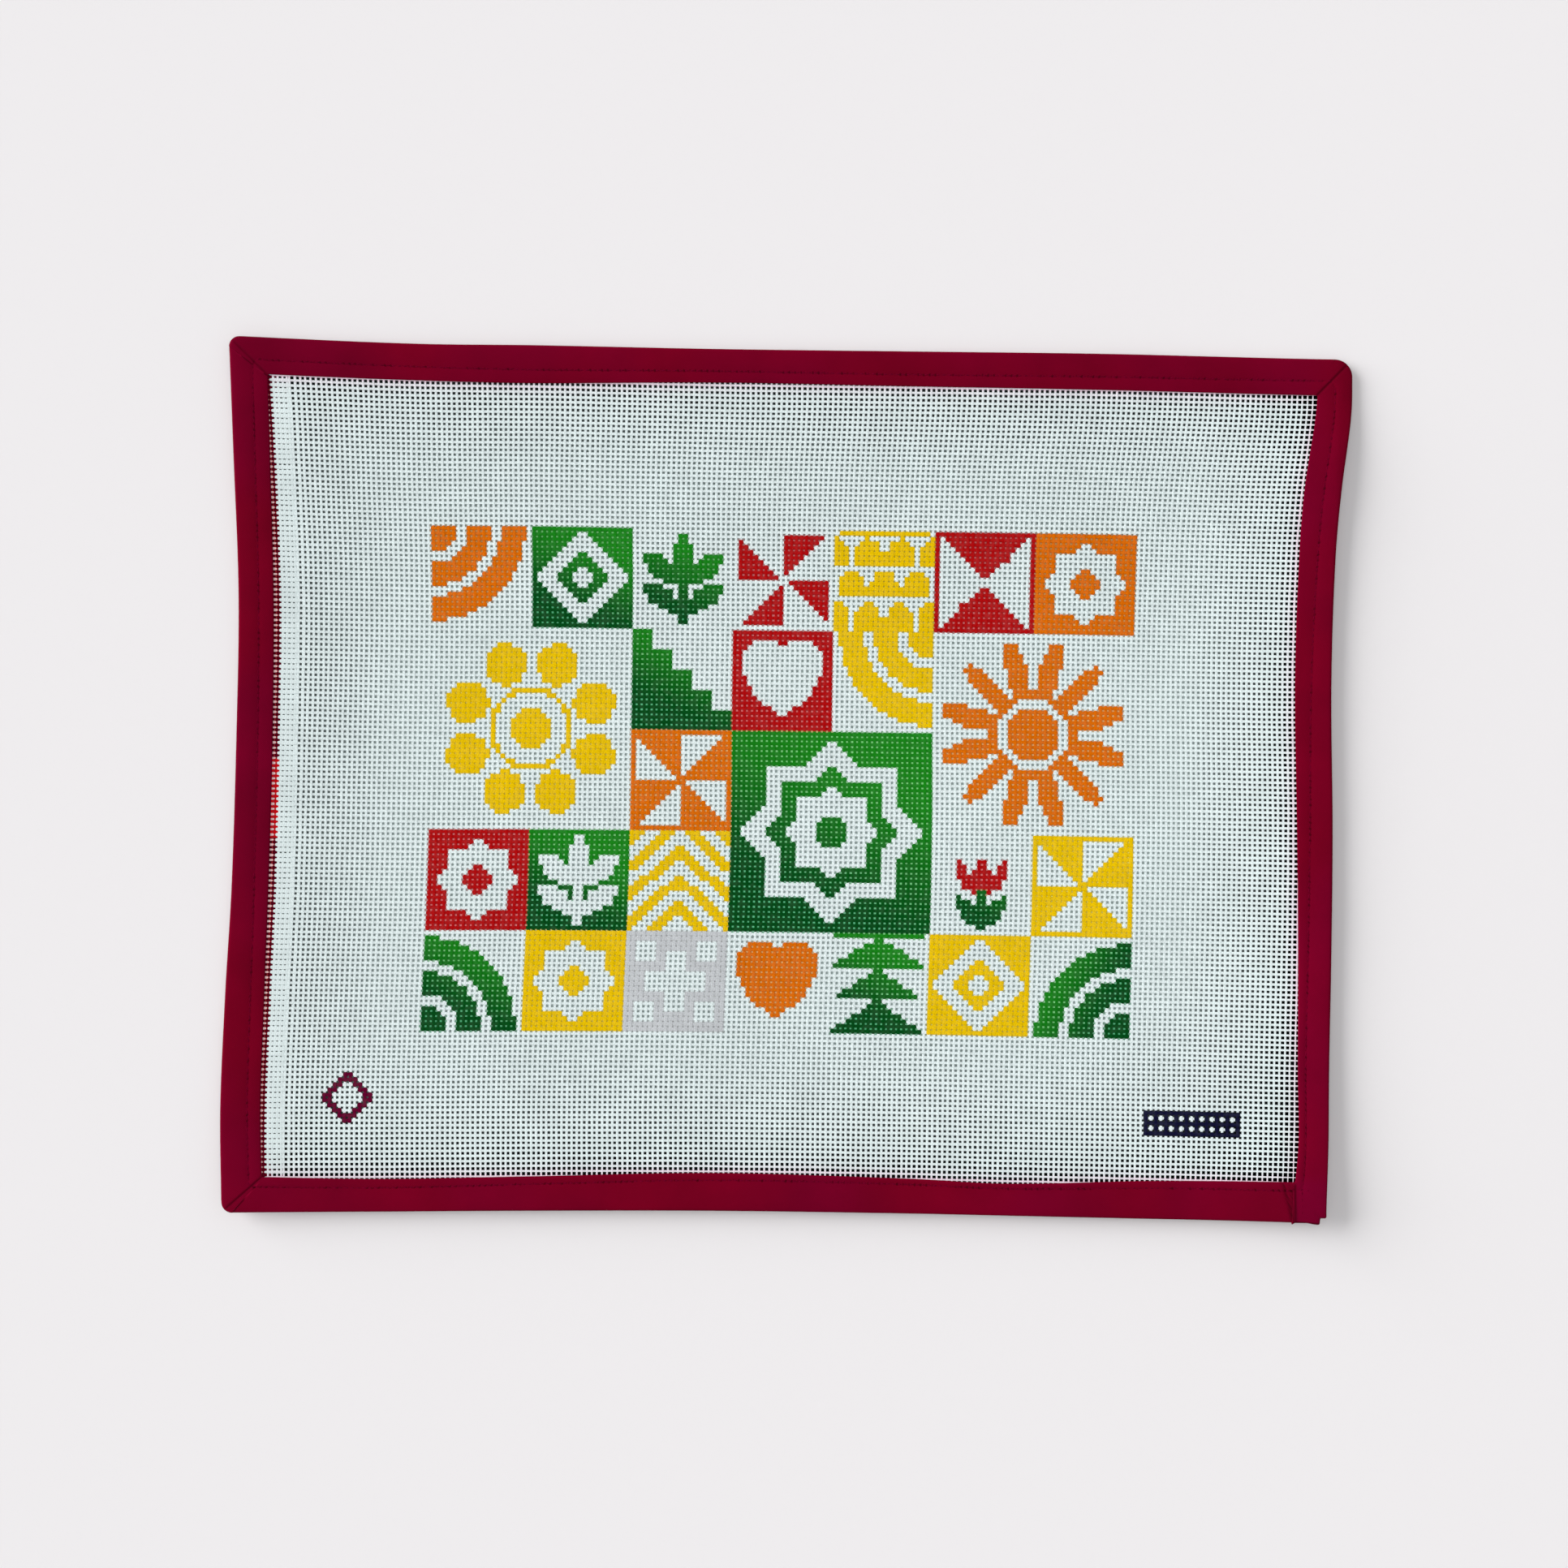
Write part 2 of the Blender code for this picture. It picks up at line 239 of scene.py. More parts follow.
def side_line(side, at, kind="outer", further=0.0):
    """The across-side coordinate of a side's outer edge, stitches or inner edge, `further` in."""
    rows = SIDES[side]
    inside = further[side] if isinstance(further, dict) else further
    if kind != "outer":
        inside = inside + along(rows, at, WIDTH)
    if kind == "stitched":
        inside = inside - along(rows, at, STITCH)
    return along(rows, at, EDGE) + INWARD[side] * inside


def corner_point(corner, kind="outer", further=0.0):
    """Where two of the panel's lines meet."""
    end, side = corner.split("_")
    x, y = SIDES[side][0][EDGE], SIDES[end][0][EDGE]
    for _ in range(4):
        x, y = side_line(side, y, kind, further), side_line(end, x, kind, further)
    return np.array((float(x), float(y)))


def bow(side, inside):
    """How far the panel is off the surface at a distance inside one of its sides."""
    return BOWS[side]["rise"] * np.clip(1 - np.maximum(inside, 0.0) / BOWS[side]["reach"], 0, None) ** 2


def lift(x, y):
    """How far the panel is off the surface because its sides bow up, the top right corner least."""
    up_from, up_over = LOW_CORNER["up"]
    across_from, across_over = LOW_CORNER["across"]
    lower = smooth((y - up_from) / up_over) * smooth((x - across_from) / across_over)
    return (1 - LOW_CORNER["share"] * lower) * (
        bow("top", TOP[0][EDGE] - y)
        + bow("bottom", y - BOTTOM[0][EDGE])
        + bow("left", x - LEFT[0][EDGE])
        + bow("right", RIGHT[0][EDGE] - x)
    )


def end_dense(steps):
    """Shares from 0 up to but not 1, closer together near both ends."""
    share = np.arange(steps) / steps
    return share - 0.66 * np.sin(2 * np.pi * share) / (2 * np.pi)


def lapped_end(steps):
    """The outer line of the tape's cut end at the bottom right corner."""
    corner = corner_point("bottom_right")
    seam = corner[0] - float(along(RIGHT, RIGHT[0][0], WIDTH))
    notch = corner[0] - LAP_NOTCH
    across_from = {"seam": seam, "middle": (seam + notch) / 2, "notch": notch, "corner": corner[0]}
    up_from = {"corner": corner[1], "low": corner[1] - LAP_DROP, "raised": corner[1] + LAP_RAISED}
    key = np.array([(across_from[a] + across, up_from[b] + up) for a, across, b, up in LAP_OUTLINE])
    at = np.linspace(0, len(key) - 1, steps)
    return np.stack([np.interp(at, np.arange(len(key)), key[:, n]) for n in (0, 1)], axis=1)


def ring(kind, further=0.0, lapped=False):
    """Points once round the panel, anticlockwise from the bottom left corner's end."""
    rounded = kind == "outer"
    names = ("bottom_right", "top_right", "top_left", "bottom_left")
    corner = {name: corner_point(name, kind, further) for name in names}
    r = {name: CORNER_ROUND[name] if rounded else INNER_ROUND for name in names}
    parts = []

    def flat_side(side, start, end, steps):
        at = start + (end - start) * end_dense(steps)
        across = side_line(side, at, kind, further)
        parts.append(np.stack((across, at) if side in ("left", "right") else (at, across), axis=1))

    def turn(name, out, first):
        angle = first + np.pi / 2 * np.linspace(0, 1, TURN_STEPS + 1)
        centre = corner[name] - r[name] * np.array(out)
        parts.append(centre + r[name] * np.stack((np.cos(angle), np.sin(angle)), axis=1))

    br, tr, tl, bl = (corner[name] for name in names)
    under_lap = LAP_HIDDEN if lapped else r["bottom_right"]
    flat_side("bottom", bl[0] + r["bottom_left"], br[0] - under_lap, LONG_STEPS)
    if lapped:
        parts.append(lapped_end(TURN_STEPS + 1))
    else:
        turn("bottom_right", (1, -1), -np.pi / 2)
    flat_side("right", br[1] + r["bottom_right"], tr[1] - r["top_right"], SHORT_STEPS)
    turn("top_right", (1, 1), 0.0)
    flat_side("top", tr[0] - r["top_right"], tl[0] + r["top_left"], LONG_STEPS)
    turn("top_left", (-1, 1), np.pi / 2)
    flat_side("left", tl[1] - r["top_left"], bl[1] + r["bottom_left"], SHORT_STEPS)
    turn("bottom_left", (-1, -1), np.pi)
    return np.concatenate(parts)


def panel_shift():
    """From the tables' coordinates to the frame's, whose origin is in the middle of the solids."""
    outline = ring("outer", lapped=True)
    middle = (outline.min(axis=0) + outline.max(axis=0)) / 2
    (low_x, low_y, _), (high_x, high_y, _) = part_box("binding")
    return np.array(((low_x + high_x) / 2, (low_y + high_y) / 2)) - middle


SHIFT = panel_shift()


def soft_noise(x, y, size, seed):
    """Smooth values from -1 to 1 over the plane, the same each run."""
    flat = np.stack([np.ravel(x) / size, np.ravel(y) / size], axis=1)
    found = [noise.noise(Vector((a, b, seed * 7.3))) for a, b in flat]
    return np.reshape(found, np.shape(x))


def wave(places, seed, size):
    """A smooth irregular line, from -1 to 1, with its own phases for each row."""
    rng = np.random.default_rng(seed)
    rows = places.shape[0]
    total = np.zeros(places.shape)
    for turns in (1.0, 2.3, 4.9):
        phase = rng.uniform(0, 2 * np.pi, (rows, 1))
        total += np.sin(places / size * turns + phase)
    return total / 3


# Painted chart

BLOCK = 20  # stitches to a block's side
BLOCKS_ACROSS, BLOCKS_UP = 7, 5
DIAMOND = 10  # stitches across the small diamond
BAR = (19, 5)  # stitches along and up the small bar
# The stitch at the lower left of each, counted from the design's
DIAMOND_PLACE = (-19, -18)
BAR_PLACE = (143, -19)


def turned(x, y, degrees):
    """The same plane turned about its middle."""
    c, s = math.cos(math.radians(degrees)), math.sin(math.radians(degrees))
    return c * x + s * y, c * y - s * x


def leaf(x, y, at_x, at_y, degrees, length, breadth):
    """A pointed leaf that starts at a point and grows in a direction."""
    u, v = turned(x - at_x, y - at_y, degrees)
    inside = (u > 0) & (u < length)
    return inside & (np.abs(v) < breadth * np.sin(np.pi * np.clip(u / length, 0, 1)) ** 0.8)


def pinwheel(x, y):
    near = np.maximum(np.abs(x), np.abs(y)) < 0.97
    return near & (((x * y > 0) & (np.abs(y) > np.abs(x))) | ((x * y < 0) & (np.abs(x) > np.abs(y))))


def nested_diamonds(x, y):
    d = np.abs(x) + np.abs(y)
    return (d < 0.30) | ((d > 0.54) & (d < 1.02))


def corner_fan(x, y):
    r = np.hypot(x + 1, y + 1) / 2
    return (r < 0.26) | ((r > 0.36) & (r < 0.60)) | ((r > 0.70) & (r < 0.96))


def hourglass(x, y):
    return (np.abs(y) >= np.abs(x)) & (np.abs(y) < 0.97)


def eight_points(x, y):
    far = np.maximum(np.abs(x), np.abs(y))
    slant = np.abs(x) + np.abs(y)
    return ((far < 0.66) | (slant < 0.93)) & (np.hypot(x, y) > 0.27)


def sprig(x, y):
    shape = (np.abs(x) < 0.07) & (y > -0.97) & (y < 0.4)
    shape |= leaf(x, y, 0.0, 0.0, 90, 0.97, 0.22)
    for level in (-0.72, -0.10):
        shape |= leaf(x, y, 0.0, level, 36, 1.10, 0.22)
        shape |= leaf(-x, y, 0.0, level, 36, 1.10, 0.22)
    return shape


def chevrons(x, y):
    return ((y + np.abs(x) * 0.9) * 1.7 + 0.2) % 1.0 < 0.5


def heart(x, y):
    a, b = x * 1.22, y * 1.22 + 0.06
    return (a * a + b * b - 0.80) ** 3 < a * a * b**3 * 1.1


def shells(x, y):
    """Three rows of half rounds, each row set half way along the one below."""
    row = np.floor((y + 1) * 1.5)
    up = (y + 1) * 1.5 - row
    side = (x * 1.5 + row * 0.5) % 1.0 - 0.5
    return np.hypot(side / 0.47, up / 0.86) < 1.0


def arrow_points(x, y):
    up = (y + 1) * 1.5
    return (np.abs(x) < 0.96) & (up % 1.0 < 1.0 - np.abs(x))


def plus_and_dots(x, y):
    plus = (np.minimum(np.abs(x), np.abs(y)) < 0.19) & (np.maximum(np.abs(x), np.abs(y)) < 0.66)
    return plus | (np.hypot(np.abs(x) - 0.64, np.abs(y) - 0.64) < 0.24)


def steps(x, y):
    return np.floor((x + 1.06) * 2.36) + np.floor((y + 1.06) * 2.36) < 5


def tulip(x, y):
    cup_top = 0.62 - 0.42 * (1 - np.abs(np.abs(x) / 0.26 - 1))
    return (np.hypot(x / 0.52, (y - 0.28) / 0.50) < 1) & (y < cup_top)


def tulip_green(x, y):
    stem = (np.abs(x) < 0.07) & (y < -0.1) & (y > -0.95)
    return stem | leaf(x, y, 0.0, -0.9, 52, 0.86, 0.17) | leaf(-x, y, 0.0, -0.9, 52, 0.86, 0.17)


def sunburst(x, y):
    r, angle = np.hypot(x, y), np.arctan2(y, x)
    ray = np.abs(np.sin(6 * angle)) > 0.25 + 0.72 * (r - 0.44) / 0.52
    return (r < 0.28) | ((r > 0.36) & (r < 0.97) & ray)


def ring_of_rounds(x, y):
    shape = (np.hypot(x, y) < 0.22) | (np.abs(np.hypot(x, y) - 0.40) < 0.035)
    for k in range(8):
        a = math.radians(45 * k + 22.5)
        shape |= np.hypot(x - 0.70 * math.cos(a), y - 0.70 * math.sin(a)) < 0.215
    return shape


def big_star(x, y):
    far, slant = np.maximum(np.abs(x), np.abs(y)), np.abs(x) + np.abs(y)
    outer = ((far < 0.68) | (slant < 0.96)) & ~((far < 0.50) | (slant < 0.70))
    inner = ((far < 0.36) | (slant < 0.50)) & (np.hypot(x, y) > 0.16)
    return outer | inner


# Where each motif stands in the chart, in blocks from its lower left.
# turn: degrees; paint and ground: names of paints, or None for bare canvas.
LAYOUT = (
    # column, row, blocks, motif, turn, paint, ground
    (0, 4, 1, corner_fan, -90, "orange", None),
    (1, 4, 1, nested_diamonds, 0, None, "leaf"),
    (2, 4, 1, sprig, 0, "leaf", None),
    (3, 4, 1, pinwheel, 0, "red", None),
    (4, 4, 1, shells, 0, "yellow", None),
    (5, 4, 1, hourglass, 90, None, "red"),
    (6, 4, 1, eight_points, 0, None, "orange"),
    (0, 2, 2, ring_of_rounds, 0, "yellow", None),
    (2, 3, 1, steps, 0, "leaf", None),
    (3, 3, 1, heart, 0, None, "red"),
    (4, 3, 1, corner_fan, 180, "yellow", None),
    (5, 2, 2, sunburst, 0, "orange", None),
    (2, 2, 1, pinwheel, 0, None, "orange"),
    (3, 1, 2, big_star, 0, None, "leaf"),
    (0, 1, 1, eight_points, 0, None, "red"),
    (1, 1, 1, sprig, 0, None, "leaf"),
    (2, 1, 1, chevrons, 0, "yellow", None),
    (5, 1, 1, tulip, 0, "red", None),
    (5, 1, 1, tulip_green, 0, "leaf", None),
    (6, 1, 1, pinwheel, 0, None, "yellow"),
    (0, 0, 1, corner_fan, 0, "leaf", None),
    (1, 0, 1, eight_points, 0, None, "yellow"),
    (2, 0, 1, plus_and_dots, 0, None, "grey"),
    (3, 0, 1, heart, 0, "orange", None),
    (4, 0, 1, arrow_points, 0, "leaf", None),
    (5, 0, 1, nested_diamonds, 0, None, "yellow"),
    (6, 0, 1, corner_fan, 90, "leaf", None),
)


def lay(chart, column, row, shape, colour):
    """Paints the true stitches of a shape into the chart, with its lower left at column, row."""
    up, across = shape.shape
    target = chart[row : row + up, column : column + across]
    if colour.ndim == 1:
        colour = np.broadcast_to(colour, (up, across, 3))
    target[shape, :3] = colour[shape]
    target[shape, 3] = 1.0


def paint_design(chart, paints, first_column, first_row):
    """Paints the whole layout, from the crossing at its lower left."""
    colours = {
        "orange": np.array(paints.orange),
        "yellow": np.array(paints.yellow),
        "red": np.array(paints.red),
        "grey": np.array(paints.grey),
    }
    for column, row, blocks, motif, turn, paint, ground in LAYOUT:
        count = BLOCK * blocks
        place = (np.arange(count) - (count - 1) / 2) / ((count - 1) / 2)
        x, y = turned(*np.meshgrid(place, place), turn)
        figure = motif(x, y)
        fresh = smooth((y + 0.8) / 1.7 + 0.25 * x)[..., None]
        colours["leaf"] = np.array(paints.deep_green) * (1 - fresh) + np.array(paints.green) * fresh
        at = first_column + column * BLOCK, first_row + row * BLOCK
        if ground:
            lay(chart, *at, ~figure, colours[ground])
        if paint:
            lay(chart, *at, figure, colours[paint])


def mark_shapes():
    """A small plain diamond outline, and a bar of small checks."""
    away = np.abs(np.arange(DIAMOND) - (DIAMOND - 1) / 2)
    slant = away[:, None] + away[None, :]
    outline = (slant > DIAMOND / 2 - 1.5) & (slant < DIAMOND / 2 + 0.5)
    length, height = BAR
    bar = (np.arange(height)[:, None] % 2 == 0) | (np.arange(length)[None, :] % 2 == 0)
    return outline, bar


# Canvas threads


def make_active(thing):
    bpy.ops.object.select_all(action="DESELECT")
    thing.select_set(True)
    bpy.context.view_layer.objects.active = thing


def finished_object(name, mesh, material):
    """The object of a mesh that is ready, in its material."""
    mesh.materials.append(material)
    made = bpy.data.objects.new(name, mesh)
    bpy.context.scene.collection.objects.link(made)
    return made


def note_on(mesh, domain, kind, name, values):
    """Keeps a colour or a value by name for each point or face of a mesh."""
    layer = mesh.attributes.new(name, kind, domain)
    field = "color" if kind == "FLOAT_COLOR" else "value"
    layer.data.foreach_set(field, values.astype(np.float32).reshape(-1))


def warp_places():
    pitch = bpy.context.scene.needlepoint_weave.pitch
    plain = np.arange(FIRST_PLAIN_WARP, LAST_WARP, pitch)
    return np.concatenate((SELVAGE_WARPS, plain))


def weft_places():
    return np.arange(FIRST_WEFT, LAST_WEFT, bpy.context.scene.needlepoint_weave.pitch)


def on_panel(across, up):
    """Plan points for nominal distances from the left and bottom edges, as the panel is bent."""
    u, v = across / PANEL_ACROSS, up / PANEL_UP
    bl, br = corner_point("bottom_left"), corner_point("bottom_right")
    tl, tr = corner_point("top_left"), corner_point("top_right")
    low_x = bl[0] + (br[0] - bl[0]) * u
    high_x = tl[0] + (tr[0] - tl[0]) * u
    near_y = bl[1] + (tl[1] - bl[1]) * v
    far_y = br[1] + (tr[1] - br[1]) * v
    x = side_line("left", near_y) * (1 - u) + side_line("right", far_y) * u
    # The woven edge and the threads near it aren't quite level with the tape's edge
    x = x + along(LEFT, near_y, WOVEN) * np.exp(-across / WOVEN_FADE)
    y = side_line("bottom", low_x) * (1 - v) + side_line("top", high_x) * v
    return x, y


def canvas_height(x, y):
    """The height of the middle of the canvas."""
    weave = bpy.context.scene.needlepoint_weave
    binding = bpy.context.scene.needlepoint_binding
    low = weave.thread_height
    high = binding.layer + binding.slot - weave.thread_height
    inside = np.minimum.reduce(
        (
            x - side_line("left", y),
            side_line("right", y) - x,
            y - side_line("bottom", x),
            side_line("top", x) - y,
        )
    )
    sag = smooth((inside - SAG_START) / SAG_LENGTH)
    return low + (high - low) * (1 - sag) + lift(x, y)


# The section of a pressed thread: across and up, in halves of its width and height
THREAD_SECTION = np.array(((-1, 0), (-0.84, 1), (0.84, 1), (1, 0), (0.84, -1), (-0.84, -1)))


def thread_group(name, middles, across, widths, heights, paint, material):
    """One mesh of parallel threads. middles is threads by stations by 3, and the rest match it."""
    threads, stations = middles.shape[:2]
    sides = len(THREAD_SECTION)
    wide = THREAD_SECTION[:, 0][None, None, :, None] * across[:, :, None, :] * widths[..., None, None] / 2
    tall = THREAD_SECTION[:, 1][None, None, :] * heights[..., None] / 2
    points = middles[:, :, None, :] + wide
    points[..., 2] += tall
    first = np.arange(threads)[:, None, None] * stations * sides
    here = first + np.arange(stations - 1)[None, :, None] * sides + np.arange(sides)[None, None, :]
    beside = first + np.arange(stations - 1)[None, :, None] * sides + (np.arange(sides) + 1) % sides
    quads = np.stack((here, beside, beside + sides, here + sides), axis=-1).reshape(-1, 4)
    start_cap = (first[:, 0] + np.arange(sides)[::-1]).reshape(-1)
    end_cap = (first[:, 0] + (stations - 1) * sides + np.arange(sides)).reshape(-1)
    corners = np.concatenate((quads.reshape(-1), start_cap, end_cap))
    counts = np.concatenate((np.full(len(quads), 4), np.full(2 * threads, sides)))
    mesh = bpy.data.meshes.new(name)
    mesh.vertices.add(points.size // 3)
    mesh.vertices.foreach_set("co", points.reshape(-1))
    mesh.loops.add(len(corners))
    mesh.loops.foreach_set("vertex_index", corners.astype(np.int32))
    mesh.polygons.add(len(counts))
    mesh.polygons.foreach_set("loop_start", np.concatenate(([0], np.cumsum(counts)[:-1])).astype(np.int32))
    mesh.update(calc_edges=True)
    # A length of thread between two crossings knows the paint of both and how far along it is
    for title, colours in (("paint_here", paint[:, :-1]), ("paint_next", paint[:, 1:])):
        values = np.zeros((len(counts), 4), np.float32)
        values[: len(quads)] = np.repeat(colours.reshape(-1, 4), sides, axis=0)
        note_on(mesh, "FACE", "FLOAT_COLOR", title, values)
    place = np.broadcast_to(np.arange(stations - 1)[None, :, None], (threads, stations - 1, sides))
    round_it = np.broadcast_to(np.arange(sides)[None, None, :], place.shape)
    u = np.stack((place, place, place + 1, place + 1), axis=-1)
    v = np.stack((round_it, round_it + 1, round_it + 1, round_it), axis=-1) / sides
    texture = np.zeros((len(corners), 2), np.float32)
    texture[: quads.size] = np.stack((u.reshape(-1), v.reshape(-1)), axis=-1)
    mesh.uv_layers.new(name="thread").data.foreach_set("uv", texture.reshape(-1))
    made = finished_object(name, mesh, material)
    make_active(made)
    bpy.ops.object.shade_smooth_by_angle(angle=math.radians(35))
    return made


def gaps_to_tape(x, y):
    """How far points on the canvas are from the tape at its right, top and bottom."""
    return {
        "right": np.maximum(side_line("right", y, "inner") - x, 0.0),
        "top": np.maximum(side_line("top", x, "inner") - y, 0.0),
        "bottom": np.maximum(y - side_line("bottom", x, "inner"), 0.0),
    }


def painted_tape_reflection(chart, warps, wefts, paints):
    """A painted reflection of the maroon tape reddens the threads beside it, and the loops outside the band
    take their own pink colour.
    """
    strongest, fades_over = 0.80, 2.0 * MM
    gaps = gaps_to_tape(*on_panel(*np.meshgrid(warps, wefts)))
    chart[..., :3] = np.array(paints.painted_tape_reflection)
    chart[..., 3] = strongest * np.exp(-np.minimum.reduce(list(gaps.values())) / fades_over)
    chart[:, 0] = (*paints.loops, LOOPS_COVERED)


def drawn_thin(x, y):
    """The share by which threads are thinner beside the tape, and at the corners on the right."""
    gaps = gaps_to_tape(x, y)
    thinner = sum(share * np.exp(-gaps[side] / fade) for side, (share, fade) in DRAWN_THIN.items())
    low_from, low_over = DRAWN_BELOW
    high_from, high_over = DRAWN_ABOVE
    corners = smooth((low_from - y) / low_over) + smooth((y - high_from) / high_over)
    share, fade = DRAWN_AT_CORNERS
    return thinner + share * corners * np.exp(-gaps["right"] / fade)


def design_corner():
    """The column and row of the design's lower left crossing."""
    weave = bpy.context.scene.needlepoint_weave
    column = int(np.argmin(np.abs(warp_places() - weave.design_across))) - BLOCK * BLOCKS_ACROSS // 2
    row = int(np.argmin(np.abs(weft_places() - weave.design_up))) - BLOCK * BLOCKS_UP // 2
    return column, row


def canvas_paint():
    """Colour and coverage of every crossing, as rows of wefts by columns of warps."""
    paints = bpy.context.scene.needlepoint_paints
    warps, wefts = warp_places(), weft_places()
    first_column, first_row = design_corner()
    chart = np.zeros((len(wefts), len(warps), 4))
    painted_tape_reflection(chart, warps, wefts, paints)
    paint_design(chart, paints, first_column, first_row)
    diamond, bar = mark_shapes()
    for shape, (across, up), colour in ((diamond, DIAMOND_PLACE, paints.mark), (bar, BAR_PLACE, paints.navy)):
        lay(chart, first_column + across, first_row + up, shape, np.array(colour))
    return chart


def warp_stations(wefts):
    """Places along a warp, each with the number of the weft it meets there, or -1 for none."""
    places = np.concatenate(([CANVAS_INSET], wefts, [PANEL_UP - CANVAS_INSET]))
    return places, np.concatenate(([-1], np.arange(len(wefts)), [-1]))


def weft_stations(warps):
    """Places along a weft, each with the number of the warp it meets there, or -1 for none."""
    turn = (WEFT_NECK, WEFT_SHOULDER)
    places = np.concatenate(([CANVAS_INSET], warps[:1], turn, warps[1:], [PANEL_ACROSS - CANVAS_INSET]))
    return places, np.concatenate(([-1, 0, -1, -1], np.arange(1, len(warps)), [-1]))


def paint_at(rows, numbers):
    """The paint of each thread at its stations, bare where it meets no other thread."""
    found = rows[:, np.maximum(numbers, 0)].copy()
    found[:, numbers < 0] = 0
    return found


def weft_widths(places, weave):
    """Wefts are drawn in outside the woven edge, and fill it closely."""
    widths = np.full(places.shape, weave.weft_width)
    widths[np.isclose(places, WEFT_NECK)] = NECK_WIDTH * weave.weft_width
    in_band = (places > SELVAGE_BAND[0]) & (places < SELVAGE_BAND[1])
    widths[in_band] = weave.pitch - weave.band_slit
    return widths


def warp_widths(count, weave):
    """The first plain warps beside the woven edge are a little wider, and the catch thread thin."""
    plain = len(SELVAGE_WARPS)
    widths = np.full(count, weave.warp_width)
    widths[0] *= CATCH_WIDTH
    widths[plain : plain + len(FIRST_PLAIN_WIDTHS)] *= FIRST_PLAIN_WIDTHS
    return widths


def weave_threads(is_warp, material):
    """The canvas's upright or level threads, in three groups."""
    weave = bpy.context.scene.needlepoint_weave
    warps, wefts = warp_places(), weft_places()
    chart = canvas_paint()
    own = warps if is_warp else wefts
    stations, meets = warp_stations(wefts) if is_warp else weft_stations(warps)
    seed = 11 if is_warp else 23
    own_grid, run = np.meshgrid(own, stations, indexing="ij")
    stray = weave.stray * wave(run, seed, STRAY_PITCHES * weave.pitch)
    across, up = (own_grid + stray, run) if is_warp else (run, own_grid + stray)
    x, y = on_panel(across, up)
    number, crossing = np.meshgrid(np.arange(len(own)), meets, indexing="ij")
    warp_number = number if is_warp else crossing
    over = np.where((number + crossing) % 2 == 0, 1.0, -1.0) * (1 if is_warp else -1)
    over[:, meets < 0] = 0
    # The wefts lie over the warps of the woven edge
    in_band = (warp_number >= 0) & (warp_number < len(SELVAGE_WARPS) - 1)
    over = np.where(in_band, BAND_WARPS_UNDER if is_warp else BAND_WEFTS_OVER, over)
    z = canvas_height(x, y) + over * weave.dip
    direction = np.stack((np.gradient(x, axis=1), np.gradient(y, axis=1)), axis=-1)
    direction /= np.linalg.norm(direction, axis=-1, keepdims=True)
    beside = np.stack((direction[..., 1], -direction[..., 0], np.zeros(x.shape)), axis=-1)
    if is_warp:
        widths = np.broadcast_to(warp_widths(len(own), weave)[:, None], x.shape)
    else:
        widths = np.broadcast_to(weft_widths(stations, weave)[None, :], x.shape)
    paint = paint_at(np.swapaxes(chart, 0, 1) if is_warp else chart, meets)
    widths = widths * (1 + WIDTH_VARIES * wave(run, seed + 1, WIDTH_PITCHES * weave.pitch))
    dyed = (*bpy.context.scene.needlepoint_paints.dyed, CATCH_COVERED)
    if is_warp:
        paint[0] = dyed
    else:
        paint[:, np.isclose(stations, WEFT_NECK)] = dyed
        widths[1::2, np.isclose(stations, SELVAGE_WARPS[0])] *= LOOP_WIDTH
    swell = np.where(paint[..., 1] > PALE_PAINT, weave.pale_swell, weave.painted_swell)
    widths = widths * (1 - drawn_thin(x, y)) * np.where(paint[..., 3] == 1.0, swell, 1.0)
    heights = np.full(x.shape, weave.thread_height)
    middles = np.stack((x + SHIFT[0], y + SHIFT[1], z), axis=-1)
    groups = []
    share = math.ceil(len(own) / 3)
    names = ("left", "middle", "right") if is_warp else ("bottom", "middle", "top")
    for k, title in enumerate(names):
        part = slice(k * share, min(len(own), (k + 1) * share))
        made = thread_group(
            f"canvas_{'warps' if is_warp else 'wefts'}_{title}",
            middles[part],
            beside[part],
            widths[part],
            heights[part],
            paint[part],
            material,
        )
        groups.append(made)
    return groups


# Folded tape

# How deep the fold of each mitred corner is, and how dark the painted shade along its crease
MITRED = {"top_right": 0.85, "top_left": 0.5, "bottom_left": 0.5}
# The folded line of a mitre: half its width where it dips and where its painted crease shade lies, and its
# step
MITRE_GROOVE, MITRE_SHADE = 0.42 * MM, 0.52 * MM
MITRE_STEP, MITRE_STEP_FADES = 0.15 * MM, 2.5 * MM
# Over what length it comes in at the inner corner, and goes out at the outer one
MITRE_COMES_IN, MITRE_GOES_OUT = 0.8 * MM, 6 * MM


def tape_rings():
    """Plan points once round the panel at the tape's outer edge, stitches, front and back edges."""
    return ring("outer", lapped=True), ring("stitched"), ring("inner"), ring("inner", BACK_REACH)


def mitre(x, y, binding):
    """The fold at each mitred corner: height of its groove and step, and how dark the painted shade along its
    crease is.
    """
    height, crease_shade = np.zeros(x.shape), np.zeros(x.shape)
    for corner, sharp in MITRED.items():
        inner, outer = corner_point(corner, "inner"), corner_point(corner)
        length = np.linalg.norm(outer - inner)
        ahead = (outer - inner) / length
        u = (x - inner[0]) * ahead[0] + (y - inner[1]) * ahead[1]
        v = (x - inner[0]) * ahead[1] - (y - inner[1]) * ahead[0]
        near = smooth((u + 0.6 * MM) / MITRE_COMES_IN) * smooth((length + 1 * MM - u) / MITRE_GOES_OUT)
        groove = np.exp(-((v / MITRE_GROOVE) ** 2))
        step = 0.5 * np.tanh(v / MITRE_STEP) * np.exp(-np.abs(v) / MITRE_STEP_FADES)
        height += near * sharp * binding.mitre_depth * (step - groove)
        crease_shade = np.maximum(crease_shade, near * sharp * np.exp(-((v / MITRE_SHADE) ** 2)))
    return height, crease_shade
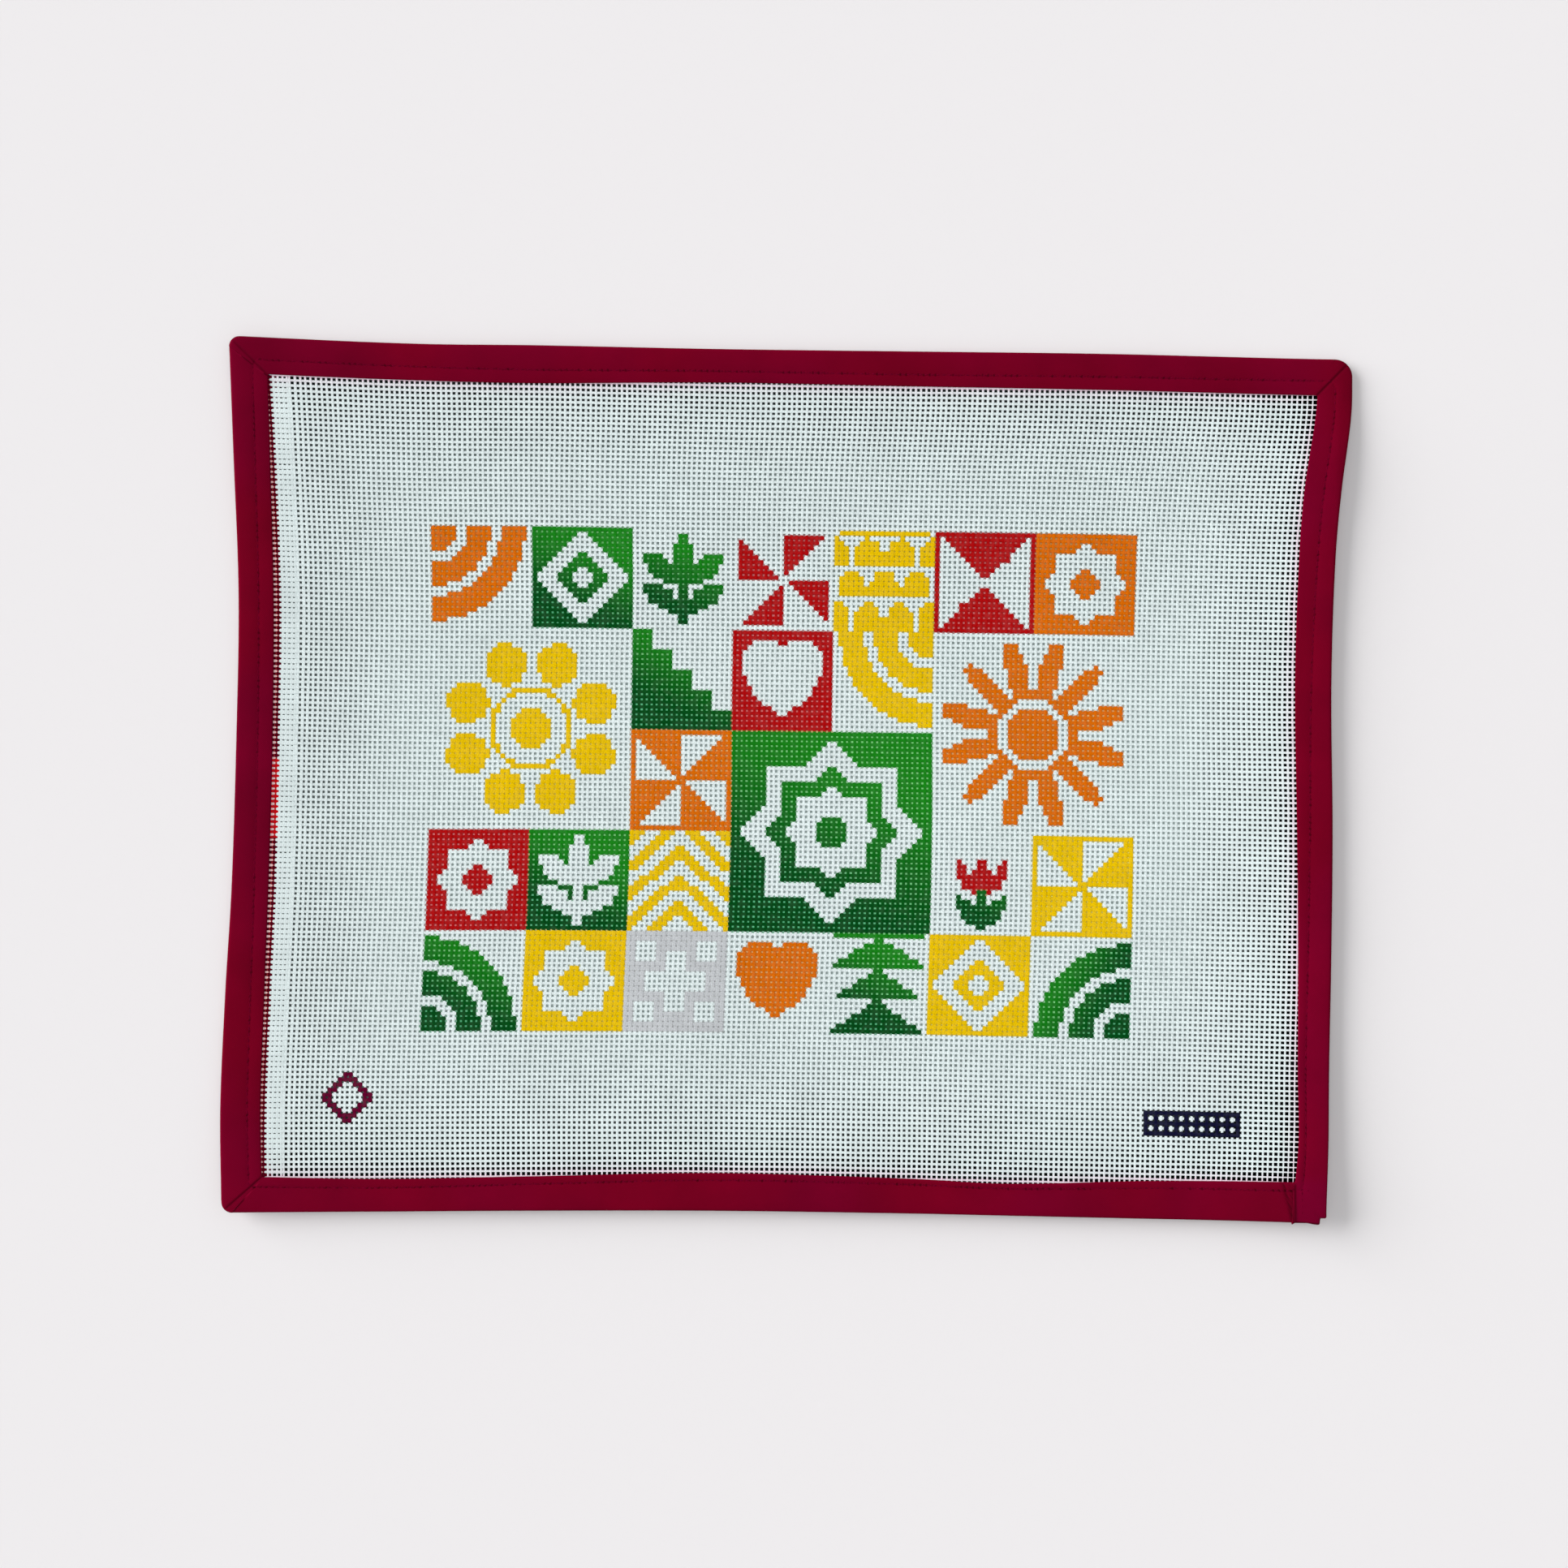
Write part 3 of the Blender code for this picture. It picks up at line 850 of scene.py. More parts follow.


# Pressed lines in the lower strip beside the lapped corner.
# start: how far left of the corner they begin; lean: how they run to the right on the way down; darkness:
# their painted shade.
LAP_WRINKLES = (
    # start, lean, depth, darkness
    (0.0002, 0.02, 0.00055, 1.0),
    (0.0046, 0.27, 0.00045, 0.9),
    (0.0024, 0.16, 0.00025, 0.5),
)
WRINKLE = 0.45 * MM  # half a wrinkle's width
LAP_FADES = 0.016  # how far up the right side the lapped end's rise goes


def lap(station, x, y, binding):
    """The tape's end lies over its start: its height there, and how dark the painted shade in its creases is.
    """
    inner, outer = corner_point("bottom_right", "inner"), corner_point("bottom_right")
    turning = (station > LONG_STEPS) & (station <= LONG_STEPS + TURN_STEPS)
    rising = (station > LONG_STEPS + TURN_STEPS) & (station < LONG_STEPS + TURN_STEPS + SHORT_STEPS)
    on_lower = station <= LONG_STEPS
    fade = 1 - smooth((y - inner[1]) / LAP_FADES)
    height = binding.lap_rise * np.where(turning, 1.0, np.where(rising, fade, 0.0))
    crease_shade = np.zeros(x.shape)
    depth = inner[1] - y
    below = smooth((depth + 0.5 * MM) / (2 * MM))
    for start, lean, deep, dark in LAP_WRINKLES:
        away = x - (inner[0] - start + depth * lean)
        line = below * np.exp(-((away / WRINKLE) ** 2))
        height -= np.where(on_lower, deep, 0) * line
        crease_shade = np.maximum(crease_shade, dark * line)
    # The upper layer's raw end stops level with the bottom edge, over the layer below it, with painted shade
    # along that ledge
    hangs = (y < outer[1] - 0.05 * MM) & (x > inner[0] - 2 * MM)
    ledge_shade = np.exp(-(((y - outer[1]) / (0.35 * MM)) ** 2)) * (x > inner[0])
    return np.where(hangs, height - binding.layer, height), np.maximum(crease_shade, ledge_shade)


def over_lap(x, y):
    """1 on the tape's lapped end, whose dye is cooler, and 0 away from it."""
    inner = corner_point("bottom_right", "inner")
    return smooth((x - inner[0] + 1 * MM) / (2 * MM)) * smooth((inner[1] + 4 * MM - y) / (6 * MM))


# The tape's section: how far in the round of its fold reaches, how much its face swells outside and
# inside the stitches, half the width of their groove, and where its columns of points stand as
# shares of the way, offsets from the stitches in millimetres, or degrees round the fold
FOLD = 0.0013
CROWN_OUTSIDE, CROWN_INSIDE = 0.16 * MM, 0.10 * MM
STITCH_GROOVE = 0.5 * MM
INSIDE_SHARES = (0.0, 0.35, 0.7)
STITCH_OFFSETS = (1.0, 0.5, 0.2, 0.0, -0.2, -0.5, -1.0)
OUTSIDE_SHARES = (0.12, 0.26, 0.40, 0.54, 0.68, 0.82, 1.0)
FOLD_DEGREES = (68, 45, 22, 0, -22, -45, -68)
BACK_SHARES = (0.0, 0.12, 0.26, 0.40, 0.55, 0.70, 0.85)


def tape_section(binding, outer, stitched, front, back):
    """Distances from the outer edge and heights round the folded tape, for every station.

    Also the numbers of the column on the stitches, and of the columns on the layer below that are given
    painted light and glow.
    """
    layer, slot = binding.layer, binding.slot
    total = 2 * layer + slot
    width = np.linalg.norm(front - outer, axis=1)
    sewn = np.linalg.norm(stitched - outer, axis=1)
    reach = np.linalg.norm(back - outer, axis=1)
    ones = np.ones(len(width))
    columns = []

    def add(distance, height, on_back=False, is_face=False):
        columns.append((distance * ones, height * ones, on_back, is_face))

    def crowned(d):
        outside = CROWN_OUTSIDE * np.sin(np.pi * np.clip((sewn - d) / (sewn - FOLD), 0, 1))
        inside = CROWN_INSIDE * np.sin(np.pi * np.clip((d - sewn) / (width - sewn), 0, 1))
        return outside + inside - binding.stitch_dip * np.exp(-(((d - sewn) / STITCH_GROOVE) ** 2))

    def face(d):
        add(d, total + crowned(d), is_face=True)

    # The front layer, from its inner edge over the stitches to the fold
    add(width, total - layer)
    add(width + 0.05 * MM, total - 0.6 * layer)
    add(width - 0.02 * MM, total - 0.25 * layer, is_face=True)
    add(width - 0.25 * MM, total - 0.03 * MM, is_face=True)
    inner_start, inner_end = width - 0.7 * MM, sewn + 1.0 * MM
    for share in INSIDE_SHARES:
        face(inner_start + (inner_end - inner_start) * share)
    sewn_column = len(columns) + STITCH_OFFSETS.index(0.0)
    for off in STITCH_OFFSETS:
        face(sewn + off * MM)
    for share in OUTSIDE_SHARES:
        face((sewn - 1.0 * MM) * (1 - share) + FOLD * share)
    for degrees in FOLD_DEGREES:
        angle = math.radians(degrees)
        round_it = FOLD * (1 - math.cos(angle)), total / 2 * (1 + math.sin(angle))
        add(*round_it, on_back=degrees < 0, is_face=degrees > 40)
    # The back layer, in along its underside and out along its upper side
    for share in BACK_SHARES:
        add(FOLD + (reach - 0.5 * MM - FOLD) * share, 0.0, on_back=True)
    add(reach - 0.4 * MM, 0.0, on_back=True)
    add(reach, 0.35 * layer, on_back=True)
    lit_from = len(columns)
    add(reach - 0.05 * MM, layer, on_back=True)
    add(reach - 2.0 * MM, layer, on_back=True)
    lit_to = len(columns)
    add(np.minimum(sewn, reach - 2.2 * MM), layer, on_back=True)
    # The inside of the fold, and the front layer's underside
    add(FOLD + 0.6 * MM, layer, on_back=True)
    add(FOLD + 0.2 * MM, total / 2, on_back=True)
    add(FOLD + 0.6 * MM, total - layer)
    add(sewn, total - layer)
    return width, sewn, reach, columns, sewn_column, (lit_from, lit_to)


def stitches_along(stitched, binding):
    """How many stitches there are up to each point of the stitch line, and in all."""
    closed = np.concatenate((stitched, stitched[:1]))
    run = np.concatenate(([0.0], np.cumsum(np.linalg.norm(np.diff(closed, axis=0), axis=1))))
    pitches = round(run[-1] / binding.stitch_pitch)
    return run / run[-1] * pitches, pitches


def sewing_texture(mesh, sew_u, off_line):
    """The tape's texture place: stitches along it, and millimetres from the stitch line."""
    u = np.stack((sew_u[:-1], sew_u[1:], sew_u[1:], sew_u[:-1]), axis=1)[:, None, :]
    v = np.stack((off_line, np.roll(off_line, -1, axis=0)), axis=-1)
    v_next = np.roll(v, -1, axis=1)
    across = np.stack((v[..., 0], v[..., 1], v_next[..., 1], v_next[..., 0]), axis=-1)
    texture = np.stack((np.broadcast_to(u, across.shape), across), axis=-1)
    mesh.uv_layers.new(name="sewing").data.foreach_set("uv", texture.astype(np.float32).reshape(-1))


def fold_tape(binding, material):
    """The whole tape as one closed mesh, and the line its stitches follow on its front face, with their count
    along it.
    """
    outer, stitched, front, back = tape_rings()
    width, sewn, reach, columns, sewn_column, lit = tape_section(binding, outer, stitched, front, back)
    stations = len(outer)
    station = np.arange(stations)
    to_front = (front - outer) / width[:, None]
    to_back = (back - outer) / reach[:, None]
    points = np.zeros((stations, len(columns), 3))
    off_line, crease_shades, cooler = (np.zeros((stations, len(columns))) for _ in range(3))
    for n, (distance, height, on_back, is_face) in enumerate(columns):
        plan = outer + (to_back if on_back else to_front) * distance[:, None]
        x, y = plan[:, 0], plan[:, 1]
        z = height + lift(x, y)
        if is_face:
            corner_height, corner_shade = mitre(x, y, binding)
            end_height, end_shade = lap(station, x, y, binding)
            uneven = 0.11 * MM * soft_noise(x, y, 0.011, 3) + 0.16 * MM * soft_noise(x, y, 0.034, 5)
            z = z + corner_height + end_height + uneven
            crease_shades[:, n] = np.maximum(corner_shade, end_shade)
            cooler[:, n] = over_lap(x, y)
        points[:, n] = np.stack((x + SHIFT[0], y + SHIFT[1], z), axis=1)
        off_line[:, n] = (distance - sewn) / MM
    rings, around = points.shape[:2]
    here = np.arange(rings)[:, None] * around + np.arange(around)[None, :]
    after = np.roll(here, -1, axis=0)
    quads = np.stack((here, after, np.roll(after, -1, axis=1), np.roll(here, -1, axis=1)), axis=-1)
    mesh = bpy.data.meshes.new("binding_tape")
    mesh.from_pydata(points.reshape(-1, 3).tolist(), [], quads.reshape(-1, 4).tolist())
    mesh.update()
    sew_u, pitches = stitches_along(stitched, binding)
    sewing_texture(mesh, sew_u, off_line)
    for title, values in (("crease_shade", crease_shades), ("lapped", cooler)):
        note_on(mesh, "POINT", "FLOAT", title, values)
    # Painted light and glow: the layer below, where it shows past the front one on the left, is given a
    # brighter red that glows, standing in for light that comes to it through the canvas
    painted_glow = np.zeros((rings, around), np.float32)
    on_left = (outer[:, 0] < front[:, 0]) & (np.abs(outer[:, 1] - front[:, 1]) < 1 * MM)
    painted_glow[:, lit[0] : lit[1]] = on_left[:, None]
    note_on(mesh, "FACE", "FLOAT", "painted_light_strip", painted_glow)
    mesh.shade_smooth()
    made = finished_object("binding_tape", mesh, material)
    line = points[:, sewn_column]
    return made, np.concatenate((line, line[:1])), sew_u, pitches


# A stitch's half length as a share of the stitches' pitch, and its height, how far its ends are
# drawn down and how far it stands proud as shares of its thread
STITCH_HALF, STITCH_HEIGHT, STITCH_SUNK, STITCH_PROUD = 0.34, 0.36, 0.55, 0.30
SHORTEST_STITCH = 0.3  # as a share of the pitch, where the line is crowded
STITCH_TURNS = 0.05  # how unevenly the stitches lie along their line, as a slope


def one_stitch(binding):
    """A single stitch, modelled lying along X at the origin, with its ends drawn down."""
    half = binding.stitch_pitch * STITCH_HALF
    bpy.ops.object.select_all(action="DESELECT")
    bpy.ops.mesh.primitive_uv_sphere_add(segments=6, ring_count=5, radius=1.0)
    stitch = bpy.context.object
    bpy.ops.transform.rotate(value=math.pi / 2, orient_axis="Y", center_override=(0, 0, 0))
    bpy.ops.transform.resize(value=(half, binding.sewing_thread / 2, binding.sewing_thread * STITCH_HEIGHT))
    bpy.ops.object.transform_apply(location=True, rotation=True, scale=True)
    for vert in stitch.data.vertices:
        share = vert.co.x / half
        vert.co.z -= binding.sewing_thread * STITCH_SUNK * share * share
    return stitch


def crossing_rows(binding, tape_height):
    """The two short rows that carry on past each other at the lapped corner, to the tape's edge."""
    corner, outer = corner_point("bottom_right", "stitched"), corner_point("bottom_right")
    rows = []
    for end in ((corner[0], outer[1] + 3 * MM), (outer[0] - 5 * MM, corner[1])):
        count = int(np.linalg.norm(np.array(end) - corner) / binding.stitch_pitch)
        share = np.linspace(0, 1, count * 4 + 1)[:, None]
        plan = corner + (np.array(end) - corner) * share
        z = tape_height + binding.lap_rise + lift(plan[:, 0], plan[:, 1])
        line = np.column_stack((plan[:, 0] + SHIFT[0], plan[:, 1] + SHIFT[1], z))
        rows.append((line, share[:, 0] * count, count, 1))
    return rows


def stitch_rows(binding, lines, material):
    """Copies of the stitch along each sewn line, on the front and on the back of the tape."""
    pattern = one_stitch(binding)
    shape = np.array([vert.co[:] for vert in pattern.data.vertices])
    faces = [list(face.vertices) for face in pattern.data.polygons]
    bpy.data.objects.remove(pattern)
    rng = np.random.default_rng(5)
    points, polygons = [], []
    for line, sew_u, count, side in lines:
        for k in range(count):
            behind, middle, ahead = (
                np.array([np.interp(k + at, sew_u, line[:, n]) for n in range(3)]) for at in (0.1, 0.5, 0.9)
            )
            direction = ahead - behind
            size = np.linalg.norm(direction)
            if size < SHORTEST_STITCH * binding.stitch_pitch:
                continue
            direction /= size
            direction[:2] += rng.normal(0, STITCH_TURNS, 2)
            direction /= np.linalg.norm(direction)
            aside = np.cross((0, 0, 1.0), direction)
            aside /= np.linalg.norm(aside)
            upward = np.cross(direction, aside)
            axes = np.stack((direction, side * aside, side * upward))
            base = len(points) * len(shape)
            proud = upward * binding.sewing_thread * STITCH_PROUD
            points.append(middle + shape @ axes + side * proud)
            polygons += [[base + v for v in face] for face in faces]
    mesh = bpy.data.meshes.new("binding_stitches")
    mesh.from_pydata(np.concatenate(points).tolist(), [], polygons)
    mesh.shade_smooth()
    return finished_object("binding_stitches", mesh, material)


# Materials

TAPE_THREADS = 2600.0  # to a metre of the tape's close weave


def new_group(name, inputs, outputs):
    """A shader node group with named sockets: (name, type, default) in, (name, type) out."""
    group = bpy.data.node_groups.new(name, "ShaderNodeTree")
    for title, kind, value in inputs:
        socket = group.interface.new_socket(name=title, in_out="INPUT", socket_type=kind)
        if value is not None:
            socket.default_value = value
    for title, kind in outputs:
        group.interface.new_socket(name=title, in_out="OUTPUT", socket_type=kind)
    return group, group.nodes.new("NodeGroupInput"), group.nodes.new("NodeGroupOutput")


def fill(tree, socket, value):
    """Wires a socket to another one, or sets its value."""
    if isinstance(value, bpy.types.NodeSocket):
        tree.links.new(value, socket)
    else:
        socket.default_value = value


def linked(tree, kind, settings=None, **wires):
    """A node with its settings made and its inputs wired or set, by socket name or as n and a number."""
    node = tree.nodes.new(kind)
    for title, value in (settings or {}).items():
        setattr(node, title, value)
    for title, value in wires.items():
        numbered = title[0] == "n" and title[1:].isdigit()
        fill(tree, node.inputs[int(title[1:]) if numbered else title], value)
    return node


def math_node(tree, operation, *values):
    wires = {f"n{k}": value for k, value in enumerate(values)}
    return linked(tree, "ShaderNodeMath", {"operation": operation}, **wires).outputs[0]


def times(tree, *values):
    """The product of values."""
    product = values[0]
    for value in values[1:]:
        product = math_node(tree, "MULTIPLY", product, value)
    return product


def remap(tree, value, low, high, new_low, new_high, kind="SMOOTHSTEP"):
    """A value's range from low to high as a new range, held at its ends."""
    limits = {"n1": low, "n2": high, "n3": new_low, "n4": new_high}
    node = linked(tree, "ShaderNodeMapRange", {"interpolation_type": kind}, Value=value, **limits)
    return node.outputs["Result"]


def mixed(tree, factor, a, b, blend="MIX"):
    settings = {"data_type": "RGBA", "blend_type": blend}
    return linked(tree, "ShaderNodeMix", settings, n0=factor, n6=a, n7=b).outputs[2]


def shaded(tree, colour, shade):
    """A colour times a shade."""
    grey = linked(tree, "ShaderNodeCombineColor", None, Red=shade, Green=shade, Blue=shade).outputs["Color"]
    return mixed(tree, 1.0, colour, grey, "MULTIPLY")


def object_place(tree):
    return linked(tree, "ShaderNodeTexCoord").outputs["Object"]


def uv_place(tree, name):
    return linked(tree, "ShaderNodeUVMap", {"uv_map": name}).outputs["UV"]


def attribute(tree, name):
    return linked(tree, "ShaderNodeAttribute", {"attribute_name": name}).outputs


def axes_of(tree, vector):
    return linked(tree, "ShaderNodeSeparateXYZ", None, Vector=vector).outputs


def speckle(tree, vector, scale, detail=2.0):
    node = linked(tree, "ShaderNodeTexNoise", None, Vector=vector, Scale=scale, Detail=detail)
    return node.outputs["Fac"]


def mottle(tree, vector, scale, low, high, least, most, detail=2.0):
    """A shade that varies softly over a surface."""
    return remap(tree, speckle(tree, vector, scale, detail), low, high, least, most, "LINEAR")


def bumped(tree, height, strength, depth, invert=False, **over):
    """A normal tilted by a height, over another normal where one is given."""
    wires = {"Strength": strength, "Distance": depth, "Height": height, **over}
    return linked(tree, "ShaderNodeBump", {"invert": invert}, **wires).outputs["Normal"]


def relief_group(name, *inputs):
    """A node group from a place and its own inputs to a height and a shade."""
    sockets = (("Vector", "NodeSocketVector", None),) + inputs
    return new_group(name, sockets, (("Height", "NodeSocketFloat"), ("Shade", "NodeSocketFloat")))


def yarn_group():
    """Twisted plies, from a coordinate that runs along and round a thread."""
    twists, plies = ("Twists", "NodeSocketFloat", 3.0), ("Plies", "NodeSocketFloat", 3.0)
    group, given, out = relief_group("twisted_yarn", twists, plies)
    axes = axes_of(group, given.outputs["Vector"])
    along_it = times(group, axes["X"], given.outputs["Twists"])
    round_it = times(group, axes["Y"], given.outputs["Plies"])
    angle = times(group, math_node(group, "ADD", along_it, round_it), 2 * math.pi)
    ridge = math_node(group, "ABSOLUTE", math_node(group, "SINE", times(group, angle, 0.5)))
    fibre = times(group, speckle(group, given.outputs["Vector"], 14.0), 0.5)
    fill(group, out.inputs["Height"], math_node(group, "ADD", ridge, fibre))
    fill(group, out.inputs["Shade"], remap(group, ridge, 0.0, 0.6, 0.80, 1.0))
    return group


def tape_weave_group():
    """A close plain weave, from plan coordinates."""
    rate = ("Threads per metre", "NodeSocketFloat", TAPE_THREADS)
    group, given, out = relief_group("close_plain_weave", rate)
    axes = axes_of(group, given.outputs["Vector"])
    turns = times(group, given.outputs["Threads per metre"], math.pi)
    waves = [math_node(group, "SINE", times(group, axes[axis], turns)) for axis in ("X", "Y")]
    grain = times(group, speckle(group, given.outputs["Vector"], 900.0), 0.6)
    height = math_node(group, "ADD", times(group, *waves), grain)
    fill(group, out.inputs["Height"], height)
    fill(group, out.inputs["Shade"], remap(group, height, -0.8, 1.2, 0.88, 1.06))
    return group


def plain_material(name, roughness, sheen=0.0):
    """A new material, its tree and its shader, with the values that are the same all over."""
    material = bpy.data.materials.new(name)
    material.use_nodes = True
    tree = material.node_tree
    shader = tree.nodes["Principled BSDF"]
    shader.inputs["Roughness"].default_value = roughness
    shader.inputs["Specular IOR Level"].default_value = 0.02
    shader.inputs["Sheen Weight"].default_value = sheen
    return material, tree, shader


def canvas_material(weave):
    """Sized cotton thread, bare or painted on its upper side up to half way to the next crossing."""
    material, tree, shader = plain_material("painted_canvas_thread", 0.72)
    place, thread = object_place(tree), uv_place(tree, "thread")
    here, after = attribute(tree, "paint_here"), attribute(tree, "paint_next")
    share = math_node(tree, "FRACT", axes_of(tree, thread)["X"])
    ragged = times(tree, math_node(tree, "SUBTRACT", speckle(tree, place, 1400.0), 0.5), 0.30)
    past_half = math_node(tree, "GREATER_THAN", math_node(tree, "ADD", share, ragged), 0.5)
    colour = mixed(tree, past_half, here["Color"], after["Color"])
    covers = {"Factor": past_half, "A": here["Alpha"], "B": after["Alpha"]}
    cover = linked(tree, "ShaderNodeMix", None, **covers).outputs["Result"]
    facing_up = axes_of(tree, linked(tree, "ShaderNodeNewGeometry").outputs["Normal"])["Z"]
    soaked = remap(tree, facing_up, -0.75, -0.25, 0.0, 1.0)
    thin = remap(tree, speckle(tree, place, 420.0), 0.30, 0.62, 0.985, 1.0)
    cover = times(tree, cover, soaked, thin)
    dyed = mixed(tree, cover, (*weave.colour, 1.0), colour)
    plies = {"node_tree": yarn_group()}
    yarn = linked(tree, "ShaderNodeGroup", plies, Vector=thread, Twists=2.0, Plies=3.0).outputs
    tone = mottle(tree, place, 160.0, 0.25, 0.75, 0.94, 1.04)
    broad = mottle(tree, place, 22.0, 0.30, 0.70, 0.965, 1.02)
    fill(tree, shader.inputs["Base Color"], shaded(tree, dyed, times(tree, tone, broad, yarn["Shade"])))
    fill(tree, shader.inputs["Normal"], bumped(tree, yarn["Height"], 0.6, 0.04 * MM))
    fill(tree, shader.inputs["Roughness"], remap(tree, cover, 0.0, 1.0, 0.74, 0.60))
    return material


def tape_material(binding):
    """Maroon cotton tape: close weave, soft sheen, mottled dye, a dimple with painted shade at each needle
    hole, painted shade along its creases, and painted light with a glow where the layer below shows through
    the canvas.
    """
    material, tree, shader = plain_material("maroon_tape", 0.85, sheen=0.04)
    shader.inputs["Sheen Roughness"].default_value = 0.5
    shader.inputs["Sheen Tint"].default_value = (0.8, 0.02, 0.12, 1.0)
    place = object_place(tree)
    rate = {"Threads per metre": TAPE_THREADS}
    weave = linked(tree, "ShaderNodeGroup", {"node_tree": tape_weave_group()}, Vector=place, **rate).outputs
    # How far a point is from the nearest needle hole, in millimetres
    sewing = axes_of(tree, uv_place(tree, "sewing"))
    half_on = math_node(tree, "FRACT", math_node(tree, "ADD", sewing["X"], 0.5))
    along_mm = times(tree, math_node(tree, "SUBTRACT", half_on, 0.5), binding.stitch_pitch / MM)
    squares = [times(tree, leg, leg) for leg in (along_mm, sewing["Y"])]
    far = math_node(tree, "SQRT", math_node(tree, "ADD", *squares))
    # Painted shade: darker at each needle hole, unevenly from hole to hole
    uneven = remap(tree, speckle(tree, place, 320.0), 0.40, 0.62, 0.15, 1.0)
    hole = times(tree, remap(tree, far, 0.20, 0.75, 1.0, 0.0), uneven)
    # Mottled dye and the weave's shade, with painted shade at each needle hole and along the creases
    shade = times(
        tree,
        mottle(tree, place, 38.0, 0.30, 0.70, 0.90, 1.12, detail=4.0),
        weave["Shade"],
        remap(tree, hole, 0.0, 1.0, 1.0, 0.50),
        remap(tree, attribute(tree, "crease_shade")["Fac"], 0.0, 1.0, 1.0, 0.42, "LINEAR"),
    )
    patches = remap(tree, speckle(tree, place, 12.0), 0.35, 0.65, 0.0, 1.0)
    dye = mixed(tree, patches, (*binding.colour, 1.0), (*binding.worn, 1.0))
    dye = mixed(tree, attribute(tree, "lapped")["Fac"], dye, (*binding.lapped, 1.0))
    # Painted light and glow: the layer below is brighter red and glows where it shows past the front one,
    # standing in for light through the canvas
    light_strip = attribute(tree, "painted_light_strip")["Fac"]
    lit = mixed(tree, light_strip, shaded(tree, dye, shade), (*binding.lit, 1.0))
    fill(tree, shader.inputs["Base Color"], lit)
    fill(tree, shader.inputs["Emission Color"], lit)
    fill(tree, shader.inputs["Emission Strength"], times(tree, light_strip, binding.painted_glow))
    fine = bumped(tree, weave["Height"], 0.5, 0.05 * MM)
    fill(tree, shader.inputs["Normal"], bumped(tree, hole, 0.8, 0.4 * MM, invert=True, Normal=fine))
    return material


def stitch_material(binding):
    """Maroon sewing thread, a little brighter and more lustrous than the tape."""
    material, tree, shader = plain_material("sewing_thread", 0.80)
    place = object_place(tree)
    tone = mottle(tree, place, 500.0, 0.3, 0.7, 0.8, 1.15)
    fill(tree, shader.inputs["Base Color"], shaded(tree, (*binding.thread_colour, 1.0), tone))
    fill(tree, shader.inputs["Normal"], bumped(tree, speckle(tree, place, 2500.0), 0.5, 0.05 * MM))
    return material


def table_material(stage):
    """A pale table, with painted shade where the panel bows up off it and lets little light through, and
    painted light below painted holes.
    """
    material, tree, shader = plain_material("pale_table", 0.9)
    place = object_place(tree)
    axes = axes_of(tree, place)
    (low_x, low_y, _), (high_x, high_y, _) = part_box("binding")
    inside = {
        "left": math_node(tree, "SUBTRACT", axes["X"], low_x),
        "right": math_node(tree, "SUBTRACT", high_x, axes["X"]),
        "bottom": math_node(tree, "SUBTRACT", axes["Y"], low_y),
        "top": math_node(tree, "SUBTRACT", high_y, axes["Y"]),
    }
    reached, within = 1.0, 1.0
    for side, (start, end, least) in SHADE_UNDER.items():
        reached = times(tree, remap(tree, inside[side], start, end, least, 1.0), reached)
        within = times(tree, remap(tree, inside[side], *UNDER_TAPE, 0.0, 1.0), within)
    for corner, (start, end, least) in SHADE_AT_CORNERS.items():
        up, side = corner.split("_")
        point = (high_x if side == "right" else low_x, high_y if up == "top" else low_y, 0.0)
        away = linked(tree, "ShaderNodeVectorMath", {"operation": "DISTANCE"}, n0=place, n1=point)
        reached = times(tree, remap(tree, away.outputs["Value"], start, end, least, 1.0), reached)
    shade = math_node(tree, "MULTIPLY_ADD", within, math_node(tree, "SUBTRACT", reached, 1.0), 1.0)
    # Painted shade: below the canvas the table takes a darker, greenish colour
    tinted = mixed(tree, within, (*stage.colour, 1.0), (*stage.under_canvas_shade, 1.0))
    # Painted light: below painted holes the table takes a light tinted by the paint
    above = attribute(tree, "painted_light_from_paint")
    tinted = mixed(tree, above["Alpha"], tinted, above["Color"])
    fill(tree, shader.inputs["Base Color"], shaded(tree, tinted, shade))
    return material


# Stage

# Painted light below a painted hole, tinted as light bounced off the paint would be: the least share of each
# colour that is left, and how much darker a dark paint leaves it
LEAST_OF_COLOUR = 0.24
DARKER_BELOW_DARK = 0.12
# Light and camera
SUN_COLOUR = (1.0, 0.995, 0.99)
SKY_COLOUR = (0.97, 0.985, 1.0, 1.0)
SENSOR_WIDTH = 36.0  # millimetres
CAMERA_ACROSS, CAMERA_UP = -0.0001, -0.0003


